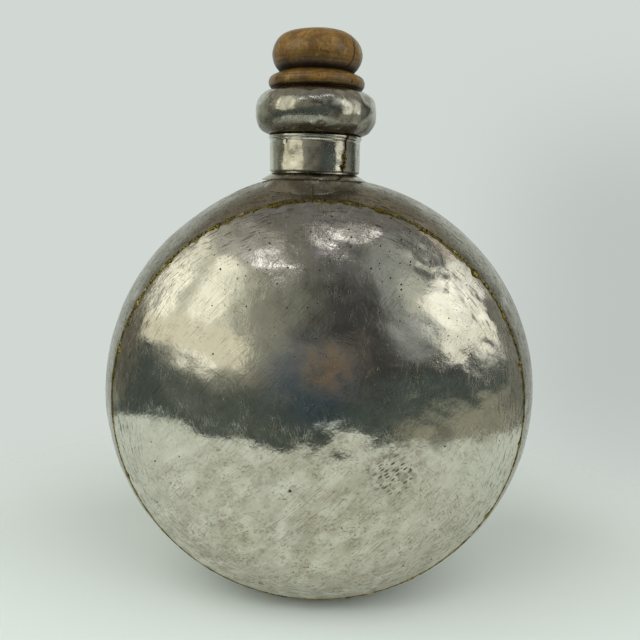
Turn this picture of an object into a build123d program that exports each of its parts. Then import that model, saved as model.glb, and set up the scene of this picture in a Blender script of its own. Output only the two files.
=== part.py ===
from build123d import *
import math
import os

# Pilgrim flask of tinned sheet metal, in millimetres, +Z up. Two raised domes are brazed to a
# side band, a collared neck with a hollow ring stands on the band, and a turned wooden stopper
# closes the mouth. The origin is on the floor under the middle of the body. The front dome
# faces -Y, and both domes are turned about the body's own axis along Y.

# Body
sheet_thickness = 1.2
crown_radius = 127.0
band_width = 84.0
band_crown_rise = 13.0
dome_depth = 42.5
foot_flat_depth = 2.2

# Brazed seams between the domes and the band
seam_bead_radius = 1.5
seam_tab_count = 24
seam_tab_length = 8.0
seam_tab_reach = 3.4
seam_tab_rise = 0.45

# Brazed joint where the ends of the band meet, under the neck
band_joint_width = 1.4
band_joint_rise = 0.4

# Neck
neck_offset = -6.25
neck_rise = 2.1
neck_bore_radius = 23.6
flange_height = 4.5
flange_spread = 5.7
flange_spigot_length = 8.0
solder_width = 7.0
solder_depth = 8.5
sleeve_length = 18.7
sleeve_edge_radius = 0.9
sleeve_slit_width = 0.9
sleeve_slit_angle = 41.0
slit_braze_width = 3.4
slit_braze_rise = 0.4
slit_braze_shares = (0.08, 0.6)
bead_height = 1.9
bead_proud = 0.7
bulb_height = 25.2
bulb_bulge = 9.75
bulb_spigot_length = 10.0

# Mouth
mouth_radius = 19.5
mouth_taper_share = 0.045
mouth_collar_length = 22.0
lip_thickness = 0.8
lip_overhang = 0.9

# Stopper
plug_clearance = 0.08
plug_length = 30.0
plug_edge_chamfer = 1.5
seat_clearance = 0.3
disc_radius = 27.3
disc_thickness = 8.6
disc_foot_shares = (0.946, 0.0)
disc_widest_height_share = 0.33
disc_shoulder_shares = (0.9, 0.78)
knob_radius = 25.6
knob_height = 23.7
knob_foot_share = 0.8
knob_flank_shares = (0.953, 0.194)
knob_widest_height_share = 0.39
knob_shoulder_share = 0.86

# Room past a cut face, for cutting blocks only
cut_overrun = 10.0

seam_radius = crown_radius - band_crown_rise
seam_y = band_width / 2
apex_y = seam_y + dome_depth
far_radius = crown_radius + cut_overrun
body_centre_height = crown_radius - foot_flat_depth

spigot_radius = neck_bore_radius + sheet_thickness
sleeve_radius = spigot_radius + sheet_thickness
flange_radius = spigot_radius + flange_spread
bulb_radius = spigot_radius + bulb_bulge
collar_radius = mouth_radius + sheet_thickness

sleeve_bottom = body_centre_height + crown_radius + neck_rise
flange_bottom = sleeve_bottom - flange_height
sleeve_top = sleeve_bottom + sleeve_length
bulb_bottom = sleeve_top + bead_height
bulb_top = bulb_bottom + bulb_height
bulb_middle = (bulb_bottom + bulb_top) / 2
lip_top = bulb_top + lip_thickness
disc_bottom = lip_top + seat_clearance
disc_top = disc_bottom + disc_thickness
knob_top = disc_top + knob_height


def closed(edges):
    """The face inside a closed run of edges."""
    return make_face(Curve() + edges)


def outline(points):
    """A closed outline of straight sides."""
    return closed([Polyline(*points, close=True)])


def crown_half_width(radius, rim_x, rim_y):
    """The half width of the ellipse that crowns the band and meets the rims at (x, y)."""
    return rim_y / math.sqrt(1 - (rim_x / radius) ** 2)


def crown_arc(radius, rim_x, rim_y):
    """The band's outline on the right, an arc of an ellipse that is level at its crown."""
    start = math.degrees(math.acos(rim_x / radius))
    half_width = crown_half_width(radius, rim_x, rim_y)
    return EllipticalCenterArc((0, 0), radius, half_width, start_angle=-start, arc_size=2 * start)


def seam_normal():
    """The direction out of the seam, halfway between the band's and the dome's own."""
    dome_radius = (seam_radius**2 + dome_depth**2) / (2 * dome_depth)
    dome_lean = math.acos(seam_radius / dome_radius)
    half_width = crown_half_width(crown_radius, seam_radius, seam_y)
    band_lean = math.atan2(seam_y / half_width**2, seam_radius / crown_radius**2)
    lean = (dome_lean + band_lean) / 2
    stretch = 1 / math.cos((dome_lean - band_lean) / 2)
    return stretch * math.cos(lean), stretch * math.sin(lean)


def body_section(inset):
    """The whole section through the body's axis, with its outline moved in by an inset."""
    across, along = seam_normal()
    rim_x, rim_y = seam_radius - inset * across, seam_y - inset * along
    dome = ThreePointArc((rim_x, rim_y), (0, apex_y - inset), (-rim_x, rim_y))
    crown = crown_arc(crown_radius - inset, rim_x, rim_y)
    return closed([dome, mirror(dome, Plane.XZ), crown, mirror(crown, Plane.YZ)])


body_face = body_section(0)
cavity_face = body_section(sheet_thickness)


def band_zone():
    """The wedge of the section that holds the band, ending along the normals of both seams."""
    across, along = seam_normal()
    tip = seam_radius - seam_y * across / along
    y = (far_radius - tip) * along / across
    return outline([(tip, 0), (far_radius, y), (far_radius, -y)])


def half_zone(side):
    """One quarter of the section: side is -1 for the front right and 1 for the rear right."""
    depth = apex_y + cut_overrun
    return Pos(far_radius / 2, side * depth / 2) * Rectangle(far_radius, depth)


def seam_bead(side):
    """The round section of the bead in one seam, centred halfway through the sheet."""
    across, along = seam_normal()
    sink = sheet_thickness / 2
    x, y = seam_radius - sink * across, seam_y - sink * along
    return Pos(x, side * y) * Circle(seam_bead_radius)


def turned_body(face):
    """A section turned about the body's axis and lifted to the body's height."""
    return Pos(0, 0, body_centre_height) * revolve(face, Axis.Y)


wall_face = body_face - cavity_face
neck_axis = Axis((neck_offset, 0, 0), (0, 0, 1))


body = turned_body(body_face & (half_zone(-1) + half_zone(1)))


def turned_neck(face):
    """A section of radius and height turned about the neck's axis."""
    return revolve(Plane.XZ * Pos(neck_offset, 0) * face, neck_axis)


def neck_drill(radius):
    """A round block about the neck's axis, from inside the body up past the flange."""
    bottom = body_centre_height + seam_radius / 2
    return Pos(neck_offset, 0, (bottom + sleeve_top) / 2) * Cylinder(radius, sleeve_top - bottom)


def joint_slab():
    """The narrow upright slab that the joint of the band's ends takes up."""
    height = crown_radius + cut_overrun
    slab = Box(band_joint_width, 2 * apex_y, height)
    return Pos(neck_offset, 0, body_centre_height + height / 2) * slab


def above(level):
    """A block that holds everything of the body above a level."""
    height = 2 * crown_radius + cut_overrun
    return Pos(0, 0, level + height / 2) * Box(height, height, height)


def make_dome(side):
    """One raised dome: side is -1 for the front and 1 for the rear."""
    return turned_body((wall_face & half_zone(side)) - band_zone() - seam_bead(side))


def make_band():
    """The side band, with the neck's hole in its crown and a foot beaten flat."""
    beads = seam_bead(-1) + seam_bead(1)
    outer = turned_body((body_face & band_zone()) - beads) & above(0)
    inner = turned_body(cavity_face & band_zone()) & above(sheet_thickness)
    return outer - inner - neck_drill(neck_bore_radius) - joint_slab()


def make_seam_braze(side):
    """A brass bead all round one seam, with the flattened lumps over its cramped tabs."""
    bead_face = seam_bead(side)
    reach = Pos(seam_radius, side * seam_y) * Circle(seam_tab_reach)
    tab_face = bead_face + ((body_section(-seam_tab_rise) - body_face) & reach)
    pitch = 360 / seam_tab_count
    tab_angle = math.degrees(seam_tab_length / seam_radius)
    tab = revolve(tab_face, Axis.Y, revolution_arc=tab_angle)
    bead = revolve(bead_face, Axis.Y, revolution_arc=pitch - tab_angle)
    stretch = tab + Rot(0, tab_angle, 0) * bead
    joint_angle = math.degrees(math.acos(neck_offset / crown_radius))
    start = -joint_angle + (pitch - tab_angle) / 2
    turns = [Rot(0, start + pitch * place, 0) * stretch for place in range(seam_tab_count)]
    return Pos(0, 0, body_centre_height) * (turns[0] + turns[1:])


def make_band_joint_braze():
    """The brass in the joint of the band's ends, in front of the neck and behind it."""
    proud_face = (body_section(-band_joint_rise) - cavity_face) & band_zone()
    joint = turned_body(proud_face - seam_bead(-1) - seam_bead(1)) & joint_slab()
    joint -= neck_drill(flange_radius + solder_width) - body
    return joint - neck_drill(neck_bore_radius)


def make_neck_flange():
    """The flared foot of the neck and its spigot, which stands inside the sleeve."""
    spigot_top = sleeve_bottom + flange_spigot_length
    inner_flange_radius = flange_radius - sheet_thickness
    profile = outline([
        (neck_bore_radius, spigot_top),
        (spigot_radius, spigot_top),
        (spigot_radius, sleeve_bottom),
        (flange_radius, flange_bottom),
        (inner_flange_radius, flange_bottom),
        (neck_bore_radius, sleeve_bottom - sheet_thickness / 2),
    ])
    return turned_neck(profile) - body


def make_flange_solder():
    """The fillet that fills the space between the level flange and the curved band."""
    inner_radius = flange_radius - sheet_thickness
    outer_radius = flange_radius + solder_width
    profile = outline([
        (inner_radius, flange_bottom),
        (flange_radius, flange_bottom),
        (outer_radius, flange_bottom - solder_depth),
        (inner_radius, flange_bottom - solder_depth),
    ])
    return turned_neck(profile) - body


def slit_block(width, bottom_share, top_share, inner_radius, outer_radius):
    """A block across the sleeve's wall at its joint, between two shares of its length."""
    height = sleeve_length * (top_share - bottom_share)
    middle = sleeve_bottom + sleeve_length * bottom_share + height / 2
    block = Pos(0, -(inner_radius + outer_radius) / 2, 0) * Box(
        width, outer_radius - inner_radius, height
    )
    return Pos(neck_offset, 0, middle) * Rot(0, 0, sleeve_slit_angle) * block


def sleeve_tube():
    """The sleeve before its joint is cut, with its outer lower edge turned in."""
    wall = Pos(spigot_radius + sheet_thickness / 2, (sleeve_bottom + sleeve_top) / 2)
    profile = wall * Rectangle(sheet_thickness, sleeve_length)
    corner = profile.vertices().sort_by(Axis.X)[-2:].sort_by(Axis.Y)[0]
    return turned_neck(fillet(corner, sleeve_edge_radius))


def full_slit():
    """The whole slit, open above the braze and running up through the bead."""
    top_share = 1 + (bead_height + cut_overrun) / sleeve_length
    return slit_block(sleeve_slit_width, 0, top_share, neck_bore_radius, bulb_radius)


def make_neck_sleeve():
    """The rolled sleeve, whose two edges meet in an upright slit at the front right."""
    foot_slit = slit_block(sleeve_slit_width, -1, 1, neck_bore_radius, bulb_radius)
    return sleeve_tube() - full_slit() - foot_slit


def make_sleeve_joint_braze():
    """The brass run into the lower part of the sleeve's slit and smeared beside it."""
    low, high = slit_braze_shares
    outer_radius = sleeve_radius + slit_braze_rise
    filled = sleeve_tube() & slit_block(sleeve_slit_width, 0, high, neck_bore_radius, bulb_radius)
    shell_profile = Pos((sleeve_radius + outer_radius) / 2, (sleeve_bottom + sleeve_top) / 2)
    shell = turned_neck(shell_profile * Rectangle(slit_braze_rise, sleeve_length))
    smear = shell & slit_block(slit_braze_width, low, high, neck_bore_radius, bulb_radius)
    return filled + smear


def make_neck_bead():
    """The raised bead round the top of the sleeve, split by the slit."""
    outer_radius = sleeve_radius + bead_proud
    width = outer_radius - spigot_radius
    place = Pos((spigot_radius + outer_radius) / 2, sleeve_top + bead_height / 2)
    profile = place * Rectangle(width, bead_height)
    corners = profile.vertices().sort_by(Axis.X)[-2:]
    rounded = fillet(corners, bead_proud)
    return turned_neck(rounded) - full_slit()


def make_neck_bulb():
    """The hollow ring of the neck, with a spigot down into the sleeve and a shoulder above."""
    half_height = bulb_height / 2
    outer_bend = (half_height**2 + bulb_bulge**2) / (2 * bulb_bulge)
    inner_bend = outer_bend - sheet_thickness
    bend_centre = bulb_radius - outer_bend
    shoulder_underside = bulb_top - sheet_thickness
    shoulder_rise = shoulder_underside - bulb_middle
    inner_shoulder_radius = bend_centre + math.sqrt(inner_bend**2 - shoulder_rise**2)
    bore_drop = math.sqrt(inner_bend**2 - (neck_bore_radius - bend_centre) ** 2)
    spigot_bottom = bulb_bottom - bulb_spigot_length
    inner_bottom = (neck_bore_radius, bulb_middle - bore_drop)
    inner_top = (inner_shoulder_radius, shoulder_underside)
    outer_arc = ThreePointArc(
        (spigot_radius, bulb_bottom), (bulb_radius, bulb_middle), (spigot_radius, bulb_top)
    )
    shoulder = Polyline(
        (spigot_radius, bulb_top), (collar_radius, bulb_top), (collar_radius, shoulder_underside),
        inner_top
    )
    inner_arc = ThreePointArc(
        inner_top, (bulb_radius - sheet_thickness, bulb_middle), inner_bottom
    )
    spigot = Polyline(
        inner_bottom, (neck_bore_radius, spigot_bottom), (spigot_radius, spigot_bottom),
        (spigot_radius, bulb_bottom)
    )
    return turned_neck(closed([outer_arc, shoulder, inner_arc, spigot]))


def mouth_bore_radius(depth):
    """The radius of the tapered mouth at a depth below the lip."""
    return mouth_radius - mouth_taper_share * depth


def make_mouth_rim():
    """The lip on the bulb's shoulder and the tapered collar that hangs inside it."""
    lip_radius = spigot_radius + lip_overhang
    collar_bottom = bulb_top - mouth_collar_length
    profile = outline([
        (mouth_radius, lip_top),
        (lip_radius, lip_top),
        (lip_radius, bulb_top),
        (collar_radius, bulb_top),
        (collar_radius, collar_bottom),
        (mouth_bore_radius(lip_top - collar_bottom), collar_bottom),
    ])
    return turned_neck(profile)


def knob_edges():
    """The right-hand outline of the knob, from the disc up to the middle of its top."""
    foot = (knob_radius * knob_foot_share, disc_top)
    flank_radius_share, flank_height_share = knob_flank_shares
    flank = (knob_radius * flank_radius_share, disc_top + knob_height * flank_height_share)
    widest_height = disc_top + knob_height * knob_widest_height_share
    crown_height = knob_top - widest_height
    shoulder = crown_height * knob_shoulder_share
    crown = (knob_radius**2 + crown_height**2 - 2 * knob_radius * shoulder) / (
        2 * (crown_height - shoulder)
    )
    shoulder_centre = knob_radius - shoulder
    join_angle = math.atan2(crown - crown_height, shoulder_centre)
    join = (
        shoulder_centre + shoulder * math.cos(join_angle),
        widest_height + shoulder * math.sin(join_angle),
    )
    widest = (knob_radius, widest_height)
    return [
        ThreePointArc(foot, flank, widest),
        TangentArc(widest, join, tangent=(0, 1)),
        TangentArc(join, (0, knob_top), tangent=(-math.sin(join_angle), math.cos(join_angle))),
    ]


def disc_edges():
    """The right-hand outline of the disc, from its seat up to the knob's foot."""
    foot, shoulder = [
        (disc_radius * across, disc_bottom + disc_thickness * up)
        for across, up in (disc_foot_shares, disc_shoulder_shares)
    ]
    widest = (disc_radius, disc_bottom + disc_thickness * disc_widest_height_share)
    knob_foot = (knob_radius * knob_foot_share, disc_top)
    return [ThreePointArc(foot, widest, shoulder), Line(shoulder, knob_foot)]


def make_stopper():
    """The turned stopper: a bun-shaped knob on a disc, and a tapered plug below."""
    plug_bottom = disc_bottom - plug_length
    top_radius = mouth_bore_radius(lip_top - disc_bottom) - plug_clearance
    tip_height = plug_bottom + plug_edge_chamfer
    low_radius = mouth_bore_radius(lip_top - tip_height) - plug_clearance
    disc_foot_radius = disc_radius * disc_foot_shares[0]
    plug = Polyline(
        (0, knob_top), (0, plug_bottom), (low_radius - plug_edge_chamfer, plug_bottom),
        (low_radius, tip_height), (top_radius, disc_bottom), (disc_foot_radius, disc_bottom)
    )
    return turned_neck(closed([plug] + disc_edges() + knob_edges()))


parts = {
    "front_dome": make_dome(-1),
    "rear_dome": make_dome(1),
    "side_band": make_band(),
    "front_seam_braze": make_seam_braze(-1),
    "rear_seam_braze": make_seam_braze(1),
    "band_joint_braze": make_band_joint_braze(),
    "neck_flange": make_neck_flange(),
    "flange_solder": make_flange_solder(),
    "neck_sleeve": make_neck_sleeve(),
    "sleeve_joint_braze": make_sleeve_joint_braze(),
    "neck_bead": make_neck_bead(),
    "neck_bulb": make_neck_bulb(),
    "mouth_rim": make_mouth_rim(),
    "stopper": make_stopper(),
}

os.makedirs("parts", exist_ok=True)
for name, shape in parts.items():
    export_step(shape, f"parts/{name}.step")
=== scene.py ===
"""Dresses the pilgrim flask: hammered tinned sheet, brazed seams and a turned wooden stopper.

Shapes are worked out in millimetres in the solid model's frame, with +Z up and the front dome
facing -Y. Workbench.place turns them to metres.
"""

import logging
import math
from dataclasses import dataclass, field, replace
from enum import Enum
from functools import partial
from typing import Callable

import bpy
import numpy as np
from mathutils import Matrix, Vector

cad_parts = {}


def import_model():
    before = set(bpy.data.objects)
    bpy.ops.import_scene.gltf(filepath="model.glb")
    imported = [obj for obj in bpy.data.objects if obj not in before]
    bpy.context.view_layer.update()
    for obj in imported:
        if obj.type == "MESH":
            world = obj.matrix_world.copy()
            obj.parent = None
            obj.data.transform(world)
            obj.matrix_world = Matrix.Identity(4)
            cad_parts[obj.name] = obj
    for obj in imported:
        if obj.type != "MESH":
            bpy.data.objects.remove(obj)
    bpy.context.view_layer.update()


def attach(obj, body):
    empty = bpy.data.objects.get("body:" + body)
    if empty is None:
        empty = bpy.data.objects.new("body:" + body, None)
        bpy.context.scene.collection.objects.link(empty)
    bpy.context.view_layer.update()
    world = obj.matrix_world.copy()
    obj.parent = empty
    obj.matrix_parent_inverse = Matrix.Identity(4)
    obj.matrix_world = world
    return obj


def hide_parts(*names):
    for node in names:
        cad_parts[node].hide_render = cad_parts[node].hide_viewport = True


LOG = logging.getLogger("flask")
METRES_PER_MM = 0.001
TINY = 1e-9
Socket = bpy.types.NodeSocket
AddNode = Callable[..., Socket]
Place = tuple[float, float, float]
Span = tuple[float, float]
EASED = {"interpolation_type": "SMOOTHSTEP"}
# The reach, the rate and the phase of each of some sines
Swings = tuple[Place, ...]
# Turn, radius and height of each spot, then its mound's radius and height
Spots = tuple[tuple[float, float, float, float, float], ...]


class Slot(Enum):
    """The record's material slots."""

    TINNED_SHEET = "tinned_sheet"
    NECK_METAL = "neck_metal"
    SOLDER = "solder"
    BRAZE = "braze"
    RIM_METAL = "rim_metal"
    TURNED_WOOD = "turned_wood"


class Carrier(Enum):
    """The bodies that pieces ride on."""

    FLASK = "flask"
    STOPPER = "stopper_body"


class Side(Enum):
    """Which of the two domes and seams: the sign is that of their Y."""

    FRONT = -1
    REAR = 1


# Colours and nodes


def linear(hex_colour: str) -> tuple[float, float, float, float]:
    """Turns an sRGB hex colour to the linear colour that shaders read."""
    srgb = np.array([int(hex_colour[place : place + 2], 16) for place in (1, 3, 5)]) / 255
    rgb = np.where(srgb <= 0.04045, srgb / 12.92, ((srgb + 0.055) / 1.055) ** 2.4)
    return (*rgb.tolist(), 1.0)


def per(size_mm: float) -> float:
    """The texture scale on Object coordinates that makes one cell this many millimetres."""
    return 1 / (size_mm * METRES_PER_MM)


def metres(lengths: tuple[float, ...]) -> tuple[float, ...]:
    """Lengths or places in millimetres as ones in metres."""
    return tuple(length * METRES_PER_MM for length in lengths)


def add_node(
    tree: bpy.types.NodeTree,
    kind: str,
    inputs: dict[int | str, object] | None = None,
    **settings: object,
) -> Socket:
    """Adds one node with its settings, and links or fills its inputs.

    Args:
        tree: The node tree that gets the node.
        kind: The node's type without its ShaderNode prefix.
        inputs: Values or sockets to link, by the input's name or number.
        **settings: The node's own properties, set before its inputs.

    Returns:
        The node's first output that is in use, or the node itself if it has none.
    """
    node = tree.nodes.new("ShaderNode" + kind)
    for name, value in settings.items():
        setattr(node, name, value)
    for key, value in (inputs or {}).items():
        by_name = (socket for socket in node.inputs if socket.enabled and socket.name == key)
        socket = node.inputs[key] if isinstance(key, int) else next(by_name)
        if isinstance(value, Socket):
            tree.links.new(value, socket)
        else:
            socket.default_value = value
    return next((socket for socket in node.outputs if socket.enabled), node)


def between(span: Span) -> dict[str, float]:
    """The inputs by which a MapRange node is 0 at the span's start and 1 at its end."""
    return {"From Min": span[0], "From Max": span[1]}


def sines(elevations: Span) -> Span:
    """The Z of directions at two angles above the horizon, in degrees."""
    return tuple(math.sin(math.radians(angle)) for angle in elevations)


def emptied(owner: bpy.types.Material | bpy.types.World) -> AddNode:
    """Clears the nodes of a material or a world, and returns what adds new ones to it."""
    owner.use_nodes = True
    owner.node_tree.nodes.clear()
    return partial(add_node, owner.node_tree)


def linked(name: str, data: bpy.types.ID) -> bpy.types.Object:
    """Makes an object of a mesh, a lamp or a camera, and links it to the scene."""
    made = bpy.data.objects.new(name, data)
    bpy.context.scene.collection.objects.link(made)
    return made


# Shapes


@dataclass
class Net:
    """A mesh in the making: points in millimetres, and the faces that join them."""

    points: np.ndarray
    quads: np.ndarray
    triangles: np.ndarray = field(default_factory=lambda: np.empty((0, 3), int))

    @classmethod
    def of_grid(
        cls,
        points: np.ndarray,
        ring: bool = True,
        closed_profile: bool = False,
        first_pole: np.ndarray | None = None,
        last_pole: np.ndarray | None = None,
    ) -> "Net":
        """Joins the neighbours of a grid of points.

        Args:
            points: The grid, as rows by columns by 3.
            ring: Whether the last column joins the first.
            closed_profile: Whether the last row joins the first.
            first_pole: A point that closes the first row with a fan.
            last_pole: A point that closes the last row with a fan.

        Returns:
            The net. Its faces look along (step over columns) x (step over rows).
        """
        rows, columns = points.shape[:2]
        row = np.arange(rows if closed_profile else rows - 1)[:, None]
        column = np.arange(columns if ring else columns - 1)[None, :]
        next_row, next_column = (row + 1) % rows, (column + 1) % columns
        corners = [(row, column), (row, next_column), (next_row, next_column), (next_row, column)]
        quads = np.stack([r * columns + c for r, c in corners], axis=-1).reshape(-1, 4)
        flat = points.reshape(-1, 3)
        start = np.arange(columns if ring else columns - 1)
        end = (start + 1) % columns
        fans = []
        if first_pole is not None:
            fans.append(np.stack([np.full_like(start, len(flat)), end, start], axis=-1))
            flat = np.vstack([flat, first_pole])
        if last_pole is not None:
            base = (rows - 1) * columns
            pole = np.full_like(start, len(flat))
            fans.append(np.stack([base + start, base + end, pole], axis=-1))
            flat = np.vstack([flat, last_pole])
        triangles = np.vstack(fans) if fans else np.empty((0, 3), int)
        return cls(flat, quads, triangles)

    def normals(self) -> np.ndarray:
        """Unit normals at the points: the faces' area vectors summed at each corner."""
        total = np.zeros_like(self.points)
        for faces in (self.quads, self.triangles):
            corners = self.points[faces]
            area = np.cross(corners[:, -2] - corners[:, 0], corners[:, -1] - corners[:, 1])
            if faces.shape[1] == 3:
                area = np.cross(corners[:, 1] - corners[:, 0], corners[:, 2] - corners[:, 0])
            for corner in range(faces.shape[1]):
                np.add.at(total, faces[:, corner], area)
        return total / np.maximum(np.linalg.norm(total, axis=1, keepdims=True), TINY)

    def displaced(self, heights: np.ndarray) -> "Net":
        """The same net with each point moved along its normal by a height."""
        return Net(self.points + heights[:, None] * self.normals(), self.quads, self.triangles)

    def without(self, dropped: np.ndarray) -> "Net":
        """The same net without the quads that touch a dropped point."""
        kept = self.quads[~dropped[self.quads].any(axis=1)]
        used, faces = np.unique(kept, return_inverse=True)
        return Net(self.points[used], faces.reshape(-1, 4))

    def thickened(self, thickness: float) -> "Net":
        """Gives a sheet its inner wall, and joins the walls along every open edge.

        Args:
            thickness: How far the inner wall lies behind the outer one.

        Returns:
            A closed net: the outer wall as it was, the inner wall turned round, and rims.
        """
        count = len(self.points)
        inner = self.points - thickness * self.normals()
        edges = np.vstack([
            np.stack([faces[:, place], faces[:, (place + 1) % faces.shape[1]]], axis=-1)
            for faces in (self.quads, self.triangles)
            for place in range(faces.shape[1])
        ])
        forward = edges[:, 0] * count + edges[:, 1]
        backward = edges[:, 1] * count + edges[:, 0]
        start, end = edges[~np.isin(forward, backward)].T
        rims = np.stack([end, start, start + count, end + count], axis=-1)
        quads = np.vstack([self.quads, self.quads[:, ::-1] + count, rims])
        triangles = np.vstack([self.triangles, self.triangles[:, ::-1] + count])
        return Net(np.vstack([self.points, inner]), quads, triangles)


@dataclass(frozen=True)
class Lathe:
    """An axis that profiles are turned about. Angles run from its front to its right."""

    centre: Place
    front: Place
    right: Place
    axis: Place

    def turn(self, radii: np.ndarray, heights: np.ndarray, angles: np.ndarray) -> np.ndarray:
        """Turns a profile: centre + r (front cos a + right sin a) + h axis.

        Args:
            radii: Radius of each row, or of each row and column.
            heights: Height along the axis, in the same layout.
            angles: Angle of each column, or of each row and column, in radians.

        Returns:
            The grid of points, rows by columns by 3.
        """
        radii = radii[:, None] if radii.ndim == 1 else radii
        heights = heights[:, None] if heights.ndim == 1 else heights
        across, along, height = np.broadcast_arrays(
            radii * np.cos(angles), radii * np.sin(angles), heights + 0 * angles
        )
        frame = np.array([self.front, self.right, self.axis])
        return np.array(self.centre) + np.stack([across, along, height], axis=-1) @ frame

    def places(self, turns: np.ndarray, radii: np.ndarray, heights: np.ndarray) -> np.ndarray:
        """One place for each turn in degrees, radius and height, as (x, y, z) rows."""
        each = np.arange(len(turns))
        return self.turn(radii, heights, np.radians(turns))[each, each]


def upright(x: float) -> Lathe:
    """The upright axis at x. Its angles run from the front towards +X."""
    return Lathe((x, 0, 0), (0, -1, 0), (1, 0, 0), (0, 0, 1))


def full_circle(count: int) -> np.ndarray:
    """Evenly spaced angles once round, without the repeated last one."""
    return np.arange(count) * (2 * math.pi / count)


def smooth_step(value: np.ndarray, low: float, high: float) -> np.ndarray:
    """0 up to low, 1 from high, and 3t^2 - 2t^3 between them."""
    share = np.clip((value - low) / (high - low), 0, 1)
    return share * share * (3 - 2 * share)


def mounds(points: np.ndarray, places: np.ndarray) -> np.ndarray:
    """Heights of round mounds or dents: each is height (1 - (d / radius)^2)^2 within its radius.

    Args:
        points: Where the heights are wanted.
        places: Rows of x, y, z, radius and height. A dent's height is below zero.

    Returns:
        The summed height at each point.
    """
    total = np.zeros(len(points))
    for x, y, z, radius, height in places:
        apart = ((points - (x, y, z)) ** 2).sum(axis=1)
        total += height * np.clip(1 - apart / radius**2, 0, None) ** 2
    return total


def wander(along: np.ndarray, swings: Swings) -> np.ndarray:
    """How far a hand-drawn line strays along its way: the sum of reach sin(rate s + phase)."""
    return sum(reach * np.sin(rate * along + phase) for reach, rate, phase in swings)


def bell(value: np.ndarray, middle: float, width: float) -> np.ndarray:
    """A bell curve, exp(-((value - middle) / width)^2): 1 at its middle, near 0 two widths off."""
    return np.exp(-(((value - middle) / width) ** 2))


def apart_round(first: np.ndarray, second: np.ndarray) -> np.ndarray:
    """The difference of two angles in radians, from -pi to pi."""
    return np.angle(np.exp(1j * (first - second)))


def arc(centre: Span, radius: float, start: float, end: float, count: int) -> np.ndarray:
    """Points of a circle's arc between two angles in radians, as (x, y) rows."""
    angles = np.linspace(start, end, count)
    return np.array(centre) + radius * np.stack([np.cos(angles), np.sin(angles)], axis=-1)


def through(start: Span, middle: Span, end: Span, count: int) -> np.ndarray:
    """Points of the circle's arc through three points, from the first to the last.

    The centre solves |c - start| = |c - middle| = |c - end|, two linear equations.
    """
    a, b, c = (np.array(point) for point in (start, middle, end))
    matrix = 2 * np.stack([b - a, c - a])
    centre = np.linalg.solve(matrix, np.array([b @ b - a @ a, c @ c - a @ a]))
    first, mid, last = (math.atan2(*(point - centre)[::-1]) for point in (a, b, c))
    mid = first + math.remainder(mid - first, 2 * math.pi)
    last = mid + math.remainder(last - mid, 2 * math.pi)
    return arc(tuple(centre), float(np.linalg.norm(a - centre)), first, last, count)


def resampled(profile: np.ndarray, spacing: float) -> np.ndarray:
    """The same run of points, evenly spaced along its length."""
    steps = np.linalg.norm(np.diff(profile, axis=0), axis=1)
    travel = np.concatenate([[0], np.cumsum(steps)])
    places = np.linspace(0, travel[-1], max(2, round(travel[-1] / spacing) + 1))
    return np.stack([np.interp(places, travel, column) for column in profile.T], axis=-1)


@dataclass(frozen=True)
class Waves:
    """Unevenness left by handwork: cosine waves in seeded directions, added up.

    Attributes:
        length: Mean distance from crest to crest.
        height: Root mean square height.
        seed: Seed of the directions, lengths and phases.
        count: How many waves are added.
        spread: The shortest and longest wave, as shares of the length.
    """

    length: float
    height: float
    seed: int
    count: int = 14
    spread: Span = (0.7, 1.4)

    def at(self, points: np.ndarray) -> np.ndarray:
        """Height at each point: the sum of cos(2 pi p.d / length + phase), scaled."""
        random = np.random.default_rng(self.seed)
        directions = random.normal(size=(self.count, 3))
        directions /= np.linalg.norm(directions, axis=1, keepdims=True)
        lengths = self.length * random.uniform(*self.spread, self.count)
        phases = random.uniform(0, 2 * math.pi, self.count)
        turns = points @ (directions * (2 * math.pi / lengths)[:, None]).T + phases
        return np.cos(turns).sum(axis=-1) * self.height * math.sqrt(2 / self.count)


@dataclass(frozen=True)
class HammerMarks:
    """Shallow round marks of a planishing hammer, scattered over a surface.

    Attributes:
        count: How many marks there are.
        radius: Mean radius of a mark.
        depth: Mean depth of a mark.
        seed: Seed of their places and sizes.
        radius_spread: The least and greatest radius, as shares of the mean.
        depth_spread: The least and greatest depth, as shares of the mean.
    """

    count: int
    radius: float
    depth: float
    seed: int
    radius_spread: Span = (0.65, 1.4)
    depth_spread: Span = (0.4, 1.6)

    def at(self, points: np.ndarray) -> np.ndarray:
        """Height at each point: the marks summed as dents of seeded radius and depth."""
        random = np.random.default_rng(self.seed)
        centres = points[random.integers(0, len(points), self.count)]
        radii = self.radius * random.uniform(*self.radius_spread, self.count)
        depths = self.depth * random.uniform(*self.depth_spread, self.count)
        return mounds(points, np.column_stack([centres, radii, -depths]))


ToolMarks = tuple[Waves | HammerMarks, ...]


def tool_marks(points: np.ndarray, marks: ToolMarks, shift: int = 0) -> np.ndarray:
    """The heights that hand tools leave: a piece's waves and hammer marks, added up.

    Args:
        points: Where the heights are wanted.
        marks: The waves and hammer marks.
        shift: Added to every seed, so that two like pieces differ.

    Returns:
        The height at each point.
    """
    return sum(replace(mark, seed=mark.seed + shift).at(points) for mark in marks)


# Sub-assemblies


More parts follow.
